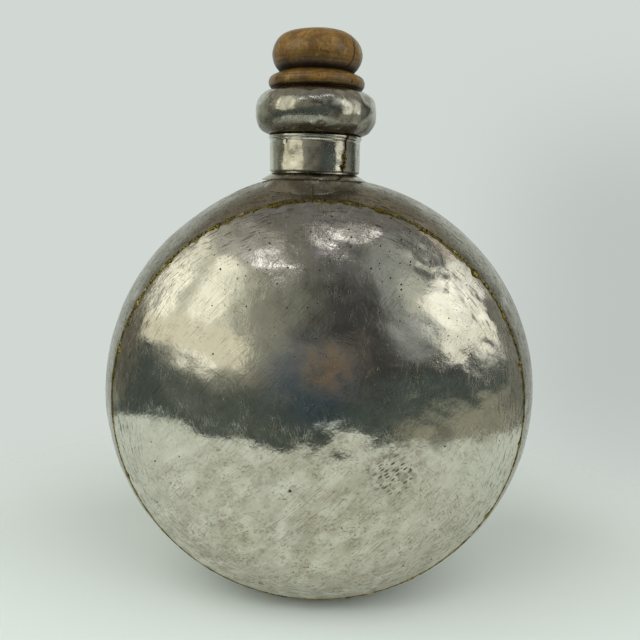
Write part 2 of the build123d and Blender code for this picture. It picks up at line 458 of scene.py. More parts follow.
@dataclass(frozen=True)
class Workbench:
    """Puts finished meshes into the scene with their slot, body and nodes."""

    materials: dict[Slot, bpy.types.Material]
    sharp_from: float = 38.0

    def place(
        self,
        name: str,
        net: Net,
        slot: Slot,
        nodes: tuple[str, ...],
        carrier: Carrier = Carrier.FLASK,
        paint: dict[str, np.ndarray] | None = None,
    ) -> bpy.types.Object:
        """Makes an object of a net, dresses it and hangs it on its body.

        Args:
            name: The piece's name.
            net: Its mesh, in millimetres.
            slot: The record's slot that it takes its finish from.
            nodes: The solid model's nodes that it stands for.
            carrier: The body that it rides on.
            paint: Values at each point that its finish reads, by name.

        Returns:
            The object.
        """
        mesh = bpy.data.meshes.new(name)
        points = (net.points * METRES_PER_MM).tolist()
        mesh.from_pydata(points, [], net.quads.tolist() + net.triangles.tolist())
        for title, values in (paint or {}).items():
            layer = mesh.attributes.new(title, "FLOAT", "POINT")
            layer.data.foreach_set("value", np.clip(values, 0, 1).astype(np.float32))
        mesh.shade_smooth()
        mesh.set_sharp_from_angle(angle=math.radians(self.sharp_from))
        mesh.materials.append(self.materials[slot])
        piece = linked(name, mesh)
        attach(piece, carrier.value)
        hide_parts(*nodes)
        LOG.info("%s: %d points on %s", name, len(net.points), carrier.value)
        return piece


@dataclass(frozen=True)
class Body:
    """The two domes, the band between them, and the brass in their joints.

    Lengths are in millimetres and turns in degrees. Margins are the width beside an edge in
    which handwork fades out. A lump is its turn from the top towards +X, its half length and
    its size, and lump_growth is what a lump of size 1 adds to the bead's width on the dome, to
    its width on the band and to its rise.
    """

    sheet_thickness: float = 1.2
    crown_radius: float = 127.0
    crown_half_width: float = 95.28
    seam_radius: float = 114.0
    seam_y: float = 42.0
    apex_y: float = 84.5
    centre_height: float = 124.8
    neck_offset: float = -6.25
    neck_hole_radius: float = 25.5
    neck_foot_radius: float = 30.5
    neck_foot_height: float = 249.7
    fillet_reach: float = 7.3
    fillet_least: float = 0.5
    fillet_slope: float = 2.1
    fillet_curve: float = 1.6
    fillet_turn: Span = (40.0, 74.0)
    swell_height: float = 1.0
    swell_lean: float = 0.7
    swell_span: Span = (30.0, 74.0)
    foot_rounding: float = 0.7
    seam_margin: float = 9.0
    band_margin: float = 7.0
    apex_hollow: float = 0.4
    apex_hollow_radius: float = 25.0
    dome_marks: ToolMarks = (
        Waves(38, 0.15, 20), Waves(14, 0.045, 30), Waves(6.5, 0.008, 60),
        HammerMarks(460, 6.0, 0.035, 40),
    )
    band_marks: ToolMarks = (Waves(30, 0.08, 41), Waves(12, 0.02, 42))
    pucker_seed: int = 51
    pucker_count: int = 36
    pucker_turn: Span = (26.0, 66.0)
    pucker_reach: Span = (96.0, 108.0)
    pucker_radius: Span = (2.6, 5.2)
    pucker_height: Span = (-0.3, 0.2)
    ring_spacing: float = 1.15
    dome_columns: int = 396
    band_columns: int = 480
    band_rows: int = 62
    seam_columns: int = 1440
    seam_rows: int = 13
    seam_half_width: float = 0.8
    seam_upper_growth: float = 0.35
    seam_rise: float = 0.34
    seam_curve: float = 0.75
    seam_sink: float = 0.5
    seam_waves: ToolMarks = (Waves(8, 0.22, 70),)
    lump_waves: ToolMarks = (Waves(2.6, 0.3, 76),)
    lump_curve: float = 1.2
    lump_least: float = 0.3
    lump_growth: Place = (1.5, 0.25, 0.3)
    front_lumps: tuple[Place, ...] = (
        (-0.5, 3.0, 0.9), (14.7, 5.0, 0.7), (28.2, 3.4, 0.9), (46.6, 4.2, 1.0), (61.0, 3.0, 0.8),
        (74.8, 3.6, 0.9), (-12.3, 3.4, 0.8), (-29.8, 5.0, 1.3), (-46.0, 4.0, 0.9),
        (-60.5, 4.0, 0.9), (-74.5, 4.2, 1.2), (-88.0, 3.0, 0.5), (98.0, 3.0, 0.5),
        (121.0, 3.0, 0.5), (-112.0, 3.0, 0.5), (-141.0, 3.0, 0.5), (150.0, 3.0, 0.5),
    )
    rear_lump_seed: int = 61
    rear_lump_count: int = 20
    rear_lump_wander: float = 4.0
    rear_lump_length: Span = (2.5, 5.0)
    rear_lump_size: Span = (0.4, 1.1)
    joint_span_gaps: Span = (0.1, 0.3)
    joint_grid: tuple[int, int] = (40, 9)
    joint_offset: float = 0.6
    joint_half_width: float = 0.5
    joint_rise: float = 0.34
    joint_sink: float = 0.12
    joint_wall: float = 0.5
    joint_ragged: Swings = ((0.14, 1.9, 0.0), (0.1, 4.1, 0.0))
    joint_wander: Swings = ((0.22, 0.7, 0.0),)

    @property
    def lathe(self) -> Lathe:
        """The body's axis along +Y. Angles run from the top towards +X."""
        return Lathe((0, 0, self.centre_height), (0, 0, 1), (1, 0, 0), (0, 1, 0))

    @property
    def dome_radius(self) -> float:
        """The radius of the sphere that a dome is part of: (r^2 + h^2) / 2h."""
        rise = self.apex_y - self.seam_y
        return (self.seam_radius**2 + rise**2) / (2 * rise)

    def swell(self, x: np.ndarray, y: np.ndarray) -> np.ndarray:
        """How far the band is drawn up round the neck: 1.7 mm at its left, nothing at the seams."""
        apart = x - self.neck_offset
        from_neck = np.hypot(apart, y)
        fade = 1 - smooth_step(from_neck, *self.swell_span)
        fade = fade * smooth_step(self.seam_y - np.abs(y), 0, self.seam_margin)
        return (self.swell_height - self.swell_lean * apart / np.maximum(from_neck, 1)) * fade

    def crown_height(self, x: np.ndarray, y: np.ndarray) -> np.ndarray:
        """The height of the band's top at (x, y): its ellipse turned about the axis, swollen."""
        radius = self.crown_radius * np.sqrt(1 - (y / self.crown_half_width) ** 2)
        return self.centre_height + np.sqrt(radius**2 - x**2) + self.swell(x, y)

    def fillet(self, x: np.ndarray, y: np.ndarray) -> tuple[np.ndarray, np.ndarray]:
        """The solder between the neck's foot and the band.

        It stands drop (1 - t)^curve above the band, where t is the share of its width outwards
        and the drop is how far the foot's edge stands above the band in that direction. It
        thins out towards the sides, where the foot's edge stands free.

        Args:
            x: X of the points.
            y: Y of the points.

        Returns:
            The fillet's width and its rise above the band at each point.
        """
        apart = x - self.neck_offset
        from_neck = np.hypot(apart, y)
        share = self.neck_foot_radius / from_neck
        edge = self.crown_height(self.neck_offset + apart * share, y * share)
        drop = np.clip(self.neck_foot_height - edge, 0, None)
        turn = np.degrees(np.abs(np.arctan2(apart, np.abs(y))))
        drop = drop * (1 - smooth_step(turn, *self.fillet_turn))
        width = np.clip(self.fillet_slope * drop, self.fillet_least, self.fillet_reach)
        travel = np.clip((from_neck - self.neck_foot_radius) / width, 0, 1)
        return width, drop * (1 - travel) ** self.fillet_curve

    def dome(self, side: Side) -> Net:
        """One dome: rings of a sphere from its apex to the seam, hammered, then given its wall.

        Args:
            side: Front or rear.

        Returns:
            The closed net.
        """
        lean = math.asin(self.seam_radius / self.dome_radius)
        rings = round(self.dome_radius * lean / self.ring_spacing)
        angles = np.linspace(0, lean, rings + 1)[1:][:: -side.value]
        radii = self.dome_radius * np.sin(angles)
        sphere_y = self.apex_y - self.dome_radius
        heights = side.value * (sphere_y + self.dome_radius * np.cos(angles))
        grid = self.lathe.turn(radii, heights, full_circle(self.dome_columns))
        pole = np.array([0, side.value * self.apex_y, self.centre_height])
        if side is Side.FRONT:
            net = Net.of_grid(grid, first_pole=pole)
        else:
            net = Net.of_grid(grid, last_pole=pole)
        from_axis = net.points - np.array(self.lathe.centre)
        to_seam = self.seam_radius - np.hypot(from_axis[:, 0], from_axis[:, 2])
        hammered = tool_marks(net.points, self.dome_marks, side.value)
        hammered = hammered - self.apex_hollow * bell(
            self.seam_radius - to_seam, 0, self.apex_hollow_radius
        )
        if side is Side.FRONT:
            hammered = hammered + mounds(net.points, self.puckers())
        net = net.displaced(hammered * smooth_step(to_seam, 0, self.seam_margin))
        net.points[:, 1] = net.points[:, 1].clip(-self.apex_y, self.apex_y)
        return net.thickened(self.sheet_thickness)

    def puckers(self) -> np.ndarray:
        """Small dents and rises inside the seam at the upper right, where the rim was beaten."""
        random = np.random.default_rng(self.pucker_seed)
        count = self.pucker_count
        turns = random.uniform(*self.pucker_turn, count)
        reach = random.uniform(*self.pucker_reach, count)
        heights = np.sqrt(self.dome_radius**2 - reach**2) + self.apex_y - self.dome_radius
        places = self.lathe.places(turns, reach, -heights)
        radii = random.uniform(*self.pucker_radius, count)
        return np.column_stack([places, radii, random.uniform(*self.pucker_height, count)])

    def band(self) -> Net:
        """The band: its ellipse turned about the axis, flat at the foot, open at the neck."""
        reach = math.asin(self.seam_y / self.crown_half_width)
        angles = np.linspace(-reach, reach, self.band_rows)
        grid = self.lathe.turn(
            self.crown_radius * np.cos(angles),
            self.crown_half_width * np.sin(angles),
            full_circle(self.band_columns),
        )
        net = Net.of_grid(grid)
        to_seam = self.seam_y - np.abs(net.points[:, 1])
        hammered = tool_marks(net.points, self.band_marks)
        net = net.displaced(hammered * smooth_step(to_seam, 0, self.band_margin))
        x, y, heights = net.points.T
        above = heights > self.centre_height
        heights = heights + np.where(above, self.swell(x, y), 0)
        net.points[:, 2] = (heights + np.hypot(heights, self.foot_rounding)) / 2
        from_neck = np.hypot(x - self.neck_offset, y)
        return net.without((from_neck < self.neck_hole_radius) & above).thickened(
            self.sheet_thickness
        )

    def seam(self, side: Side) -> Net:
        """The brass in one seam: a thin bead that follows both sheets, with lumps on the dome.

        A point at share u across the bead lies on the dome or the band at |u| widths from the
        seam, and its top stands (1 - u^2)^curve rises above the sheet.

        Args:
            side: Front or rear.

        Returns:
            The closed net.
        """
        angles = full_circle(self.seam_columns)
        on_dome, on_band, rise = self.seam_run(side, angles)
        lean = math.asin(self.seam_radius / self.dome_radius)
        to_dome = np.array([-math.cos(lean), math.sin(lean)])
        slope = np.array([
            self.seam_radius / self.crown_radius**2, self.seam_y / self.crown_half_width**2
        ])
        slope /= np.linalg.norm(slope)
        to_band = np.array([slope[1], -slope[0]])
        outward = np.array([math.sin(lean), math.cos(lean)]) + slope
        outward /= np.linalg.norm(outward)
        shares = side.value * np.linspace(-1, 1, self.seam_rows)
        across = np.concatenate([shares, shares[-2:0:-1]])[:, None]
        top = (np.arange(len(across)) < self.seam_rows)[:, None]
        along = np.where(across > 0, to_dome, to_band) * np.abs(across)
        width = np.where(across > 0, on_dome, on_band)
        lift = np.where(top, rise * (1 - across**2) ** self.seam_curve, -self.seam_sink)
        radii = self.seam_radius + along[:, :1] * width + outward[0] * lift
        heights = self.seam_y + along[:, 1:] * width + outward[1] * lift
        grid = self.lathe.turn(radii, side.value * heights, angles)
        return Net.of_grid(grid, closed_profile=True)

    def seam_run(self, side: Side, angles: np.ndarray) -> tuple[np.ndarray, ...]:
        """The bead's width on the dome, its width on the band and its rise along the seam.

        Args:
            side: Front or rear, which have their lumps at different places.
            angles: Angles from the top towards +X, in radians.

        Returns:
            The three runs, each with a value at each angle.
        """
        if side is Side.FRONT:
            places, lengths, sizes = np.array(self.front_lumps).T
        else:
            random = np.random.default_rng(self.rear_lump_seed)
            count, wide = self.rear_lump_count, self.rear_lump_wander
            places = np.arange(count) * 360 / count + random.uniform(-wide, wide, count)
            lengths = random.uniform(*self.rear_lump_length, count)
            sizes = random.uniform(*self.rear_lump_size, count)
        circle = np.stack([np.cos(angles), np.sin(angles), 0 * angles], axis=-1) * self.seam_radius
        apart = apart_round(angles[:, None], np.radians(places)) * self.seam_radius
        near = np.clip(1 - (apart / lengths) ** 2, 0, None) ** self.lump_curve
        fine = 1 + tool_marks(circle, self.lump_waves, side.value)
        lumps = (near * sizes).sum(axis=1) * np.clip(fine, self.lump_least, None)
        ragged = 1 + tool_marks(circle, self.seam_waves, side.value)
        width = self.seam_half_width * ragged * (1 + self.seam_upper_growth * np.cos(angles))
        on_dome, on_band, up = (growth * lumps for growth in self.lump_growth)
        return width + on_dome, width + on_band, self.seam_rise * ragged + up

    def band_joint(self, side: Side) -> Net:
        """The brass line from the neck's foot to one seam, where the band's ends meet.

        Args:
            side: In front of the neck or behind it.

        Returns:
            The closed net, a low ridge over the fillet and the band, its edges in the metal.
        """
        rows, columns = self.joint_grid
        from_foot, to_seam = self.joint_span_gaps
        start, end = self.neck_foot_radius + from_foot, self.seam_y - to_seam
        along = np.linspace(start, end, rows)[:, None]
        share = np.linspace(-1, 1, columns)[None, :]
        half_width = self.joint_half_width + wander(along, self.joint_ragged)
        middle = self.neck_offset + self.joint_offset + wander(along, self.joint_wander)
        x = middle + share * half_width
        y = side.value * along + 0 * share
        level = self.crown_height(x, y) + self.fillet(x, y)[1]
        z = level + self.joint_rise * (1 - share**2) - self.joint_sink
        grid = np.stack([x, y, z], axis=-1)
        if side is Side.FRONT:
            grid = grid[::-1]
        return Net.of_grid(grid, ring=False).thickened(self.joint_wall)

    def build(self, bench: Workbench) -> None:
        """Makes and places the body's pieces."""
        for side, title in ((Side.FRONT, "front"), (Side.REAR, "rear")):
            dome = self.dome(side)
            bench.place(
                f"hammered_{title}_dome", dome, Slot.TINNED_SHEET, (f"{title}_dome",),
                paint={"dome": np.ones(len(dome.points))},
            )
            bench.place(f"{title}_seam_bead", self.seam(side), Slot.BRAZE, (f"{title}_seam_braze",))
            bench.place(
                f"{title}_band_joint", self.band_joint(side), Slot.BRAZE, ("band_joint_braze",)
            )
        band = self.band()
        bench.place(
            "crowned_band", band, Slot.TINNED_SHEET, ("side_band",),
            paint={"band": np.ones(len(band.points))},
        )


@dataclass(frozen=True)
class Neck:
    """The flange, sleeve, bead, hollow ring and lip that stand on the band.

    Lengths are in millimetres. Spots are a turn in degrees from the front towards +X, a radius
    and a height, with a mound's radius and height after them. The groove and the ridge are how
    far they lie below the sleeve's top, how wide and how high they are. The spans of the painted
    shade and of the grime at the foot are how far they reach and how dense they are.
    """

    body: Body
    bore_radius: float = 23.6
    spigot_radius: float = 24.8
    sleeve_radius: float = 26.0
    bulb_radius: float = 34.55
    collar_radius: float = 20.7
    mouth_radius: float = 19.5
    mouth_low_radius: float = 18.47
    lip_radius: float = 25.7
    flange_bottom: float = 249.4
    sleeve_bottom: float = 253.9
    sleeve_top: float = 272.6
    bead_top: float = 274.5
    bead_proud: float = 0.75
    bulb_top: float = 299.7
    lip_top: float = 300.5
    collar_bottom: float = 277.7
    flange_spigot_top: float = 261.9
    bulb_spigot_bottom: float = 264.5
    slit_angle: float = math.radians(41.0)
    slit_top_gap: float = 1.1
    slit_bottom_gap: float = 0.5
    slit_lean: float = math.radians(2.0) / 9
    slit_lean_height: float = 265.0
    slit_wander: Swings = ((0.012, 0.9, 0.0),)
    columns: int = 360
    flange_spacing: float = 0.5
    flange_marks: ToolMarks = (Waves(14, 0.06, 81),)
    flange_margin: float = 1.5
    solder_rows: int = 15
    solder_tuck: float = 1.3
    solder_tuck_turn: Span = (55.0, 80.0)
    solder_depth: float = 0.9
    solder_sink: float = 0.12
    solder_marks: ToolMarks = (Waves(9, 0.07, 91), Waves(4, 0.04, 92))
    solder_lumps: Spots = tuple((turn, 31.0, 0.0, 1.7, 0.5) for turn in (-6.0, 0.0, 5.0, 27.0))
    # Painted shadow line just outside the flange's edge: how far out it lies and how wide it is
    tip_shadow_line: Span = (0.2, 0.45)
    sleeve_rounding: float = 0.9
    sleeve_spacing: float = 0.3
    sleeve_groove: Place = (1.4, 0.28, 0.28)
    sleeve_ridge: Place = (0.6, 0.4, 0.22)
    sleeve_marks: ToolMarks = (Waves(17, 0.09, 101), Waves(5, 0.01, 102))
    sleeve_dents: Spots = (
        (-37.0, 26.0, 270.3, 1.8, -0.3), (-24.0, 26.0, 262.0, 6.0, -0.14),
        (34.0, 26.0, 262.0, 5.0, 0.16),
    )
    bead_rows: int = 13
    bead_curve: float = 0.7
    bead_wall: float = 0.9
    bead_marks: ToolMarks = (Waves(9, 0.05, 111),)
    bulb_rows: int = 72
    bulb_swell: float = 0.42
    bulb_margins: Span = (3.0, 1.5)
    bulb_marks: ToolMarks = (
        Waves(15, 0.15, 121), Waves(7, 0.05, 122), HammerMarks(130, 6.0, 0.22, 123)
    )
    lip_spacing: float = 0.55
    lip_columns: int = 240
    braze_reach: Span = (1.0, 12.0)
    braze_ends: Span = (1.2, 2.6)
    braze_grid: tuple[int, int] = (60, 33)
    braze_half_width: float = 1.9
    braze_ragged: Swings = ((0.5, 1.3, 0.0), (0.35, 3.1, 1.0))
    braze_rise: float = 0.7
    braze_sink: float = 0.14
    braze_wall: float = 0.5
    braze_crack: Span = (0.17, 0.9)
    # Brown grime beside the slit and in one patch; painted shade at the sleeve's foot, under the
    # bulb and under the lip
    grime_slit: float = 1.5
    foot_grime_and_shade: Span = (1.6, 0.8)
    shade_under_bulb: Span = (13.0, 0.95)
    shade_under_lip: Span = (2.5, 0.7)
    grime_patch: Spots = ((7.0, 31.2, 278.4, 4.0, 1.2),)

    @property
    def lathe(self) -> Lathe:
        """The neck's upright axis. Angles run from the front towards +X."""
        return upright(self.body.neck_offset)

    def mounds_at(self, points: np.ndarray, spots: Spots) -> np.ndarray:
        """Heights of round mounds and dents at spots on the neck.

        Args:
            points: Where the heights are wanted.
            spots: Each a turn, a radius, a height, and the mound's radius and height.

        Returns:
            The summed height at each point.
        """
        *place, sizes, rises = np.array(spots).T
        return mounds(points, np.column_stack([self.lathe.places(*place), sizes, rises]))

    def slit_columns(self, heights: np.ndarray, radius: float) -> np.ndarray:
        """Angles from one edge of the slit round to the other, for each height.

        Args:
            heights: The height of each row.
            radius: The radius at which the gap is measured.

        Returns:
            Angles, rows by columns: the gap narrows evenly from the bead's top down.
        """
        share = np.clip((heights - self.sleeve_bottom) / (self.bead_top - self.sleeve_bottom), 0, 1)
        gap = self.slit_bottom_gap + (self.slit_top_gap - self.slit_bottom_gap) * share
        half = (gap / radius / 2)[:, None]
        turn = np.linspace(0, 1, self.columns)[None, :]
        return self.slit_middle(heights)[:, None] + half + turn * (2 * math.pi - 2 * half)

    def slit_middle(self, heights: np.ndarray) -> np.ndarray:
        """The angle of the slit's middle at each height: it leans and wanders a little."""
        lean = self.slit_lean * (heights - self.slit_lean_height)
        return self.slit_angle + lean + wander(heights, self.slit_wander)

    def flange(self) -> Net:
        """The flared foot and its spigot, with a gap under the sleeve: their section turned."""
        profile = np.array([
            (self.body.neck_foot_radius - self.body.sheet_thickness, self.flange_bottom),
            (self.body.neck_foot_radius - 0.15, self.flange_bottom),
            (self.body.neck_foot_radius, self.flange_bottom + 0.25),
            (self.spigot_radius + 0.35, self.sleeve_bottom - 1.0),
            (self.spigot_radius, self.sleeve_bottom - 0.5),
            (self.spigot_radius, self.flange_spigot_top),
            (self.bore_radius, self.flange_spigot_top),
            (self.bore_radius, self.sleeve_bottom - 1.5),
            (self.body.neck_foot_radius - self.body.sheet_thickness, self.flange_bottom),
        ])
        profile = resampled(profile, self.flange_spacing)[:-1]
        grid = self.lathe.turn(profile[:, 0], profile[:, 1], full_circle(self.columns))
        net = Net.of_grid(grid, closed_profile=True)
        low = smooth_step(self.sleeve_bottom - net.points[:, 2], 0, self.flange_margin)
        return net.displaced(tool_marks(net.points, self.flange_marks) * low)

    def solder(self) -> Net:
        """The fillet from the flange's edge out to the band, lumpy, with its foot in the band."""
        angles = full_circle(self.columns)
        turn = np.degrees(np.arcsin(np.abs(np.sin(angles))))
        edge = self.body.neck_foot_radius - 0.05
        edge = edge - self.solder_tuck * smooth_step(turn, *self.solder_tuck_turn)
        rim = self.lathe.turn(edge[None, :], np.zeros((1, self.columns)), angles)[0]
        width = self.body.fillet(rim[:, 0], rim[:, 1])[0]
        rows = self.solder_rows
        outer = edge + np.linspace(1, 0, rows)[:, None] * width
        inner = edge[None, :] - self.solder_depth
        radii = np.concatenate([inner, outer[:1] + 0.2, outer, inner])
        points = self.lathe.turn(radii, np.zeros_like(radii), angles)
        x, y = points[..., 0], points[..., 1]
        level = self.body.crown_height(x, y) + self.body.fillet(x, y)[1]
        lumps = self.mounds_at(points.reshape(-1, 3), self.solder_lumps).reshape(level.shape)
        ragged = tool_marks(points, self.solder_marks) + lumps
        fade = np.concatenate([np.zeros(3), smooth_step(np.arange(rows - 1), -1, 3), [0]])
        under = [self.solder_depth, self.solder_depth, self.solder_sink]
        sunk = np.concatenate([under, np.zeros(rows)])
        points[..., 2] = level + ragged * fade[:, None] - sunk[:, None]
        points[0, :, 2] = np.minimum(points[0, :, 2], points[1, :, 2])
        return Net.of_grid(points, closed_profile=True)

    def sleeve(self) -> Net:
        """The rolled tube, open at its slit, rounded in at its foot and grooved under its bead."""
        rounding = self.sleeve_rounding
        low = self.sleeve_bottom + rounding
        corner = arc((self.sleeve_radius - rounding, low), rounding, -math.pi / 2, 0, 8)
        wall = np.array([(self.sleeve_radius, low), (self.sleeve_radius, self.sleeve_top)])
        profile = np.vstack([corner[:-1], resampled(wall, self.sleeve_spacing)])
        radii, heights = profile.T
        for (below, width, height), sign in ((self.sleeve_groove, -1), (self.sleeve_ridge, 1)):
            radii = radii + sign * height * bell(heights, self.sleeve_top - below, width)
        angles = self.slit_columns(heights, self.sleeve_radius)
        net = Net.of_grid(self.lathe.turn(radii, heights, angles), ring=False)
        uneven = tool_marks(net.points, self.sleeve_marks)
        dents = self.mounds_at(net.points, self.sleeve_dents)
        return net.displaced(uneven + dents).thickened(self.body.sheet_thickness)

    def bead(self) -> Net:
        """The raised bead at the sleeve's top, split by the slit."""
        bulge = np.linspace(0, math.pi, self.bead_rows)
        middle = (self.sleeve_top + self.bead_top) / 2
        radii = self.sleeve_radius + self.bead_proud * np.sin(bulge) ** self.bead_curve
        heights = middle - (self.bead_top - self.sleeve_top) / 2 * np.cos(bulge)
        angles = self.slit_columns(heights, self.sleeve_radius)
        net = Net.of_grid(self.lathe.turn(radii, heights, angles), ring=False)
        uneven = tool_marks(net.points, self.bead_marks)
        return net.displaced(uneven).thickened(self.bead_wall)

    def bulb(self) -> Net:
        """The hollow ring: an arc turned about the neck, hard hammered, with its spigot."""
        half_height = (self.bulb_top - self.bead_top) / 2
        bulge = self.bulb_radius - self.spigot_radius
        bend = (half_height**2 + bulge**2) / (2 * bulge)
        reach = math.asin(half_height / bend)
        middle = self.bead_top + half_height
        ring = arc((self.bulb_radius - bend, middle), bend, -reach, reach, self.bulb_rows)
        spigot = np.array([
            (self.spigot_radius, self.bulb_spigot_bottom), (self.spigot_radius, self.bead_top)
        ])
        shoulder = np.array([(self.spigot_radius, self.bulb_top),
                             (self.collar_radius, self.bulb_top)])
        profile = np.vstack([resampled(spigot, 1.0)[:-1], ring, resampled(shoulder, 0.8)[1:]])
        grid = self.lathe.turn(profile[:, 0], profile[:, 1], full_circle(self.columns))
        net = Net.of_grid(grid)
        heights = net.points[:, 2]
        radii = np.hypot(net.points[:, 0] - self.body.neck_offset, net.points[:, 1])
        high, wide = self.bulb_margins
        free = smooth_step(heights, self.bead_top, self.bead_top + high)
        free = free * smooth_step(self.bulb_top - heights, 0, high)
        free = free * smooth_step(radii, self.spigot_radius, self.spigot_radius + wide)
        hammered = self.bulb_swell + tool_marks(net.points, self.bulb_marks)
        return net.displaced(hammered * free).thickened(self.body.sheet_thickness)

    def lip(self) -> Net:
        """The lip and the tapered collar inside it: their section turned about the neck."""
        profile = np.array([
            (self.mouth_low_radius, self.collar_bottom),
            (self.collar_radius, self.collar_bottom),
            (self.collar_radius, self.bulb_top),
            (self.lip_radius - 0.2, self.bulb_top),
            (self.lip_radius, self.bulb_top + 0.2),
            (self.lip_radius, self.lip_top - 0.25),
            (self.lip_radius - 0.25, self.lip_top),
            (self.mouth_radius, self.lip_top),
            (self.mouth_low_radius, self.collar_bottom),
        ])
        profile = resampled(profile, self.lip_spacing)[:-1]
        grid = self.lathe.turn(profile[:, 0], profile[:, 1], full_circle(self.lip_columns))
        return Net.of_grid(grid, closed_profile=True)

    def slit_braze(self) -> Net:
        """The brass smeared over the lower part of the slit: two ragged lips beside a crack."""
        low, high = (self.sleeve_bottom + height for height in self.braze_reach)
        rows, columns = self.braze_grid
        heights = np.linspace(low, high, rows)[:, None]
        share = np.linspace(-1, 1, columns)[None, :]
        half_width = self.braze_half_width + wander(heights, self.braze_ragged)
        foot, top = self.braze_ends
        ends = np.clip((heights - low) / foot, 0, 1) * np.clip((high - heights) / top, 0, 1)
        half_width = half_width * (0.3 + 0.7 * ends)
        angles = self.slit_middle(heights) + share * half_width / self.sleeve_radius
        lumps = 1 + 0.4 * np.sin(heights * 2.3) + 0.3 * np.sin(share * 5 + heights * 1.7)
        crack_width, crack_depth = self.braze_crack
        lift = self.braze_rise * lumps * ends * (1 - share**2) - self.braze_sink
        lift = lift - crack_depth * bell(share, 0, crack_width) * ends
        grid = self.lathe.turn(self.sleeve_radius + lift, heights + 0 * share, angles)
        return Net.of_grid(grid, ring=False).thickened(self.braze_wall)

    def grime_and_painted_shade(self, net: Net) -> dict[str, np.ndarray]:
        """Where the neck's metal is darkened: brown grime, and painted shade in its hollows.

        Args:
            net: The piece.

        Returns:
            The paint at each point: brown grime beside the slit and in one patch low on its front,
            and painted shade at the sleeve's foot, under the bulb and under the lip.
        """
        heights = net.points[:, 2]
        offset = net.points - np.array(self.lathe.centre)
        angles = np.arctan2(offset[:, 0], -offset[:, 1])
        apart = apart_round(angles, self.slit_middle(heights)) * self.sleeve_radius
        on_sleeve = heights < self.bead_top
        slit = bell(apart, 0, self.grime_slit) * on_sleeve
        # Painted shade at the sleeve's foot under its overhang, under the bulb and under the lip
        reach, amount = self.foot_grime_and_shade
        foot = amount * (1 - smooth_step(heights - self.sleeve_bottom, 0, reach))
        reach, amount = self.shade_under_bulb
        under = amount * (1 - smooth_step(heights - self.bead_top, 0, reach)) * ~on_sleeve
        reach, amount = self.shade_under_lip
        top = amount * smooth_step(heights, self.bulb_top - reach, self.bulb_top)
        patch = self.mounds_at(net.points, self.grime_patch)
        return {"grime_and_painted_shade": slit + foot + under + patch + top, "bulb": 1.0 * ~on_sleeve}

    def build(self, bench: Workbench) -> None:
        """Makes and places the neck's pieces."""
        bench.place("flared_foot", self.flange(), Slot.TINNED_SHEET, ("neck_flange",))
        solder = self.solder()
        # Painted shadow on the solder: a thin dark line just outside the flange's edge
        from_neck = np.hypot(solder.points[:, 0] - self.body.neck_offset, solder.points[:, 1])
        outside, width = self.tip_shadow_line
        line = bell(from_neck, self.body.neck_foot_radius + outside, width)
        bench.place("foot_solder", solder, Slot.SOLDER, ("flange_solder",), paint={"grime_and_painted_shade": line})
        bench.place("slit_spelter", self.slit_braze(), Slot.BRAZE, ("sleeve_joint_braze",))
        bench.place("mouth_lip", self.lip(), Slot.RIM_METAL, ("mouth_rim",))
        for name, net, node in (
            ("rolled_sleeve", self.sleeve(), "neck_sleeve"),
            ("split_bead", self.bead(), "neck_bead"),
            ("hammered_bulb", self.bulb(), "neck_bulb"),
        ):
            bench.place(name, net, Slot.NECK_METAL, (node,), paint=self.grime_and_painted_shade(net))


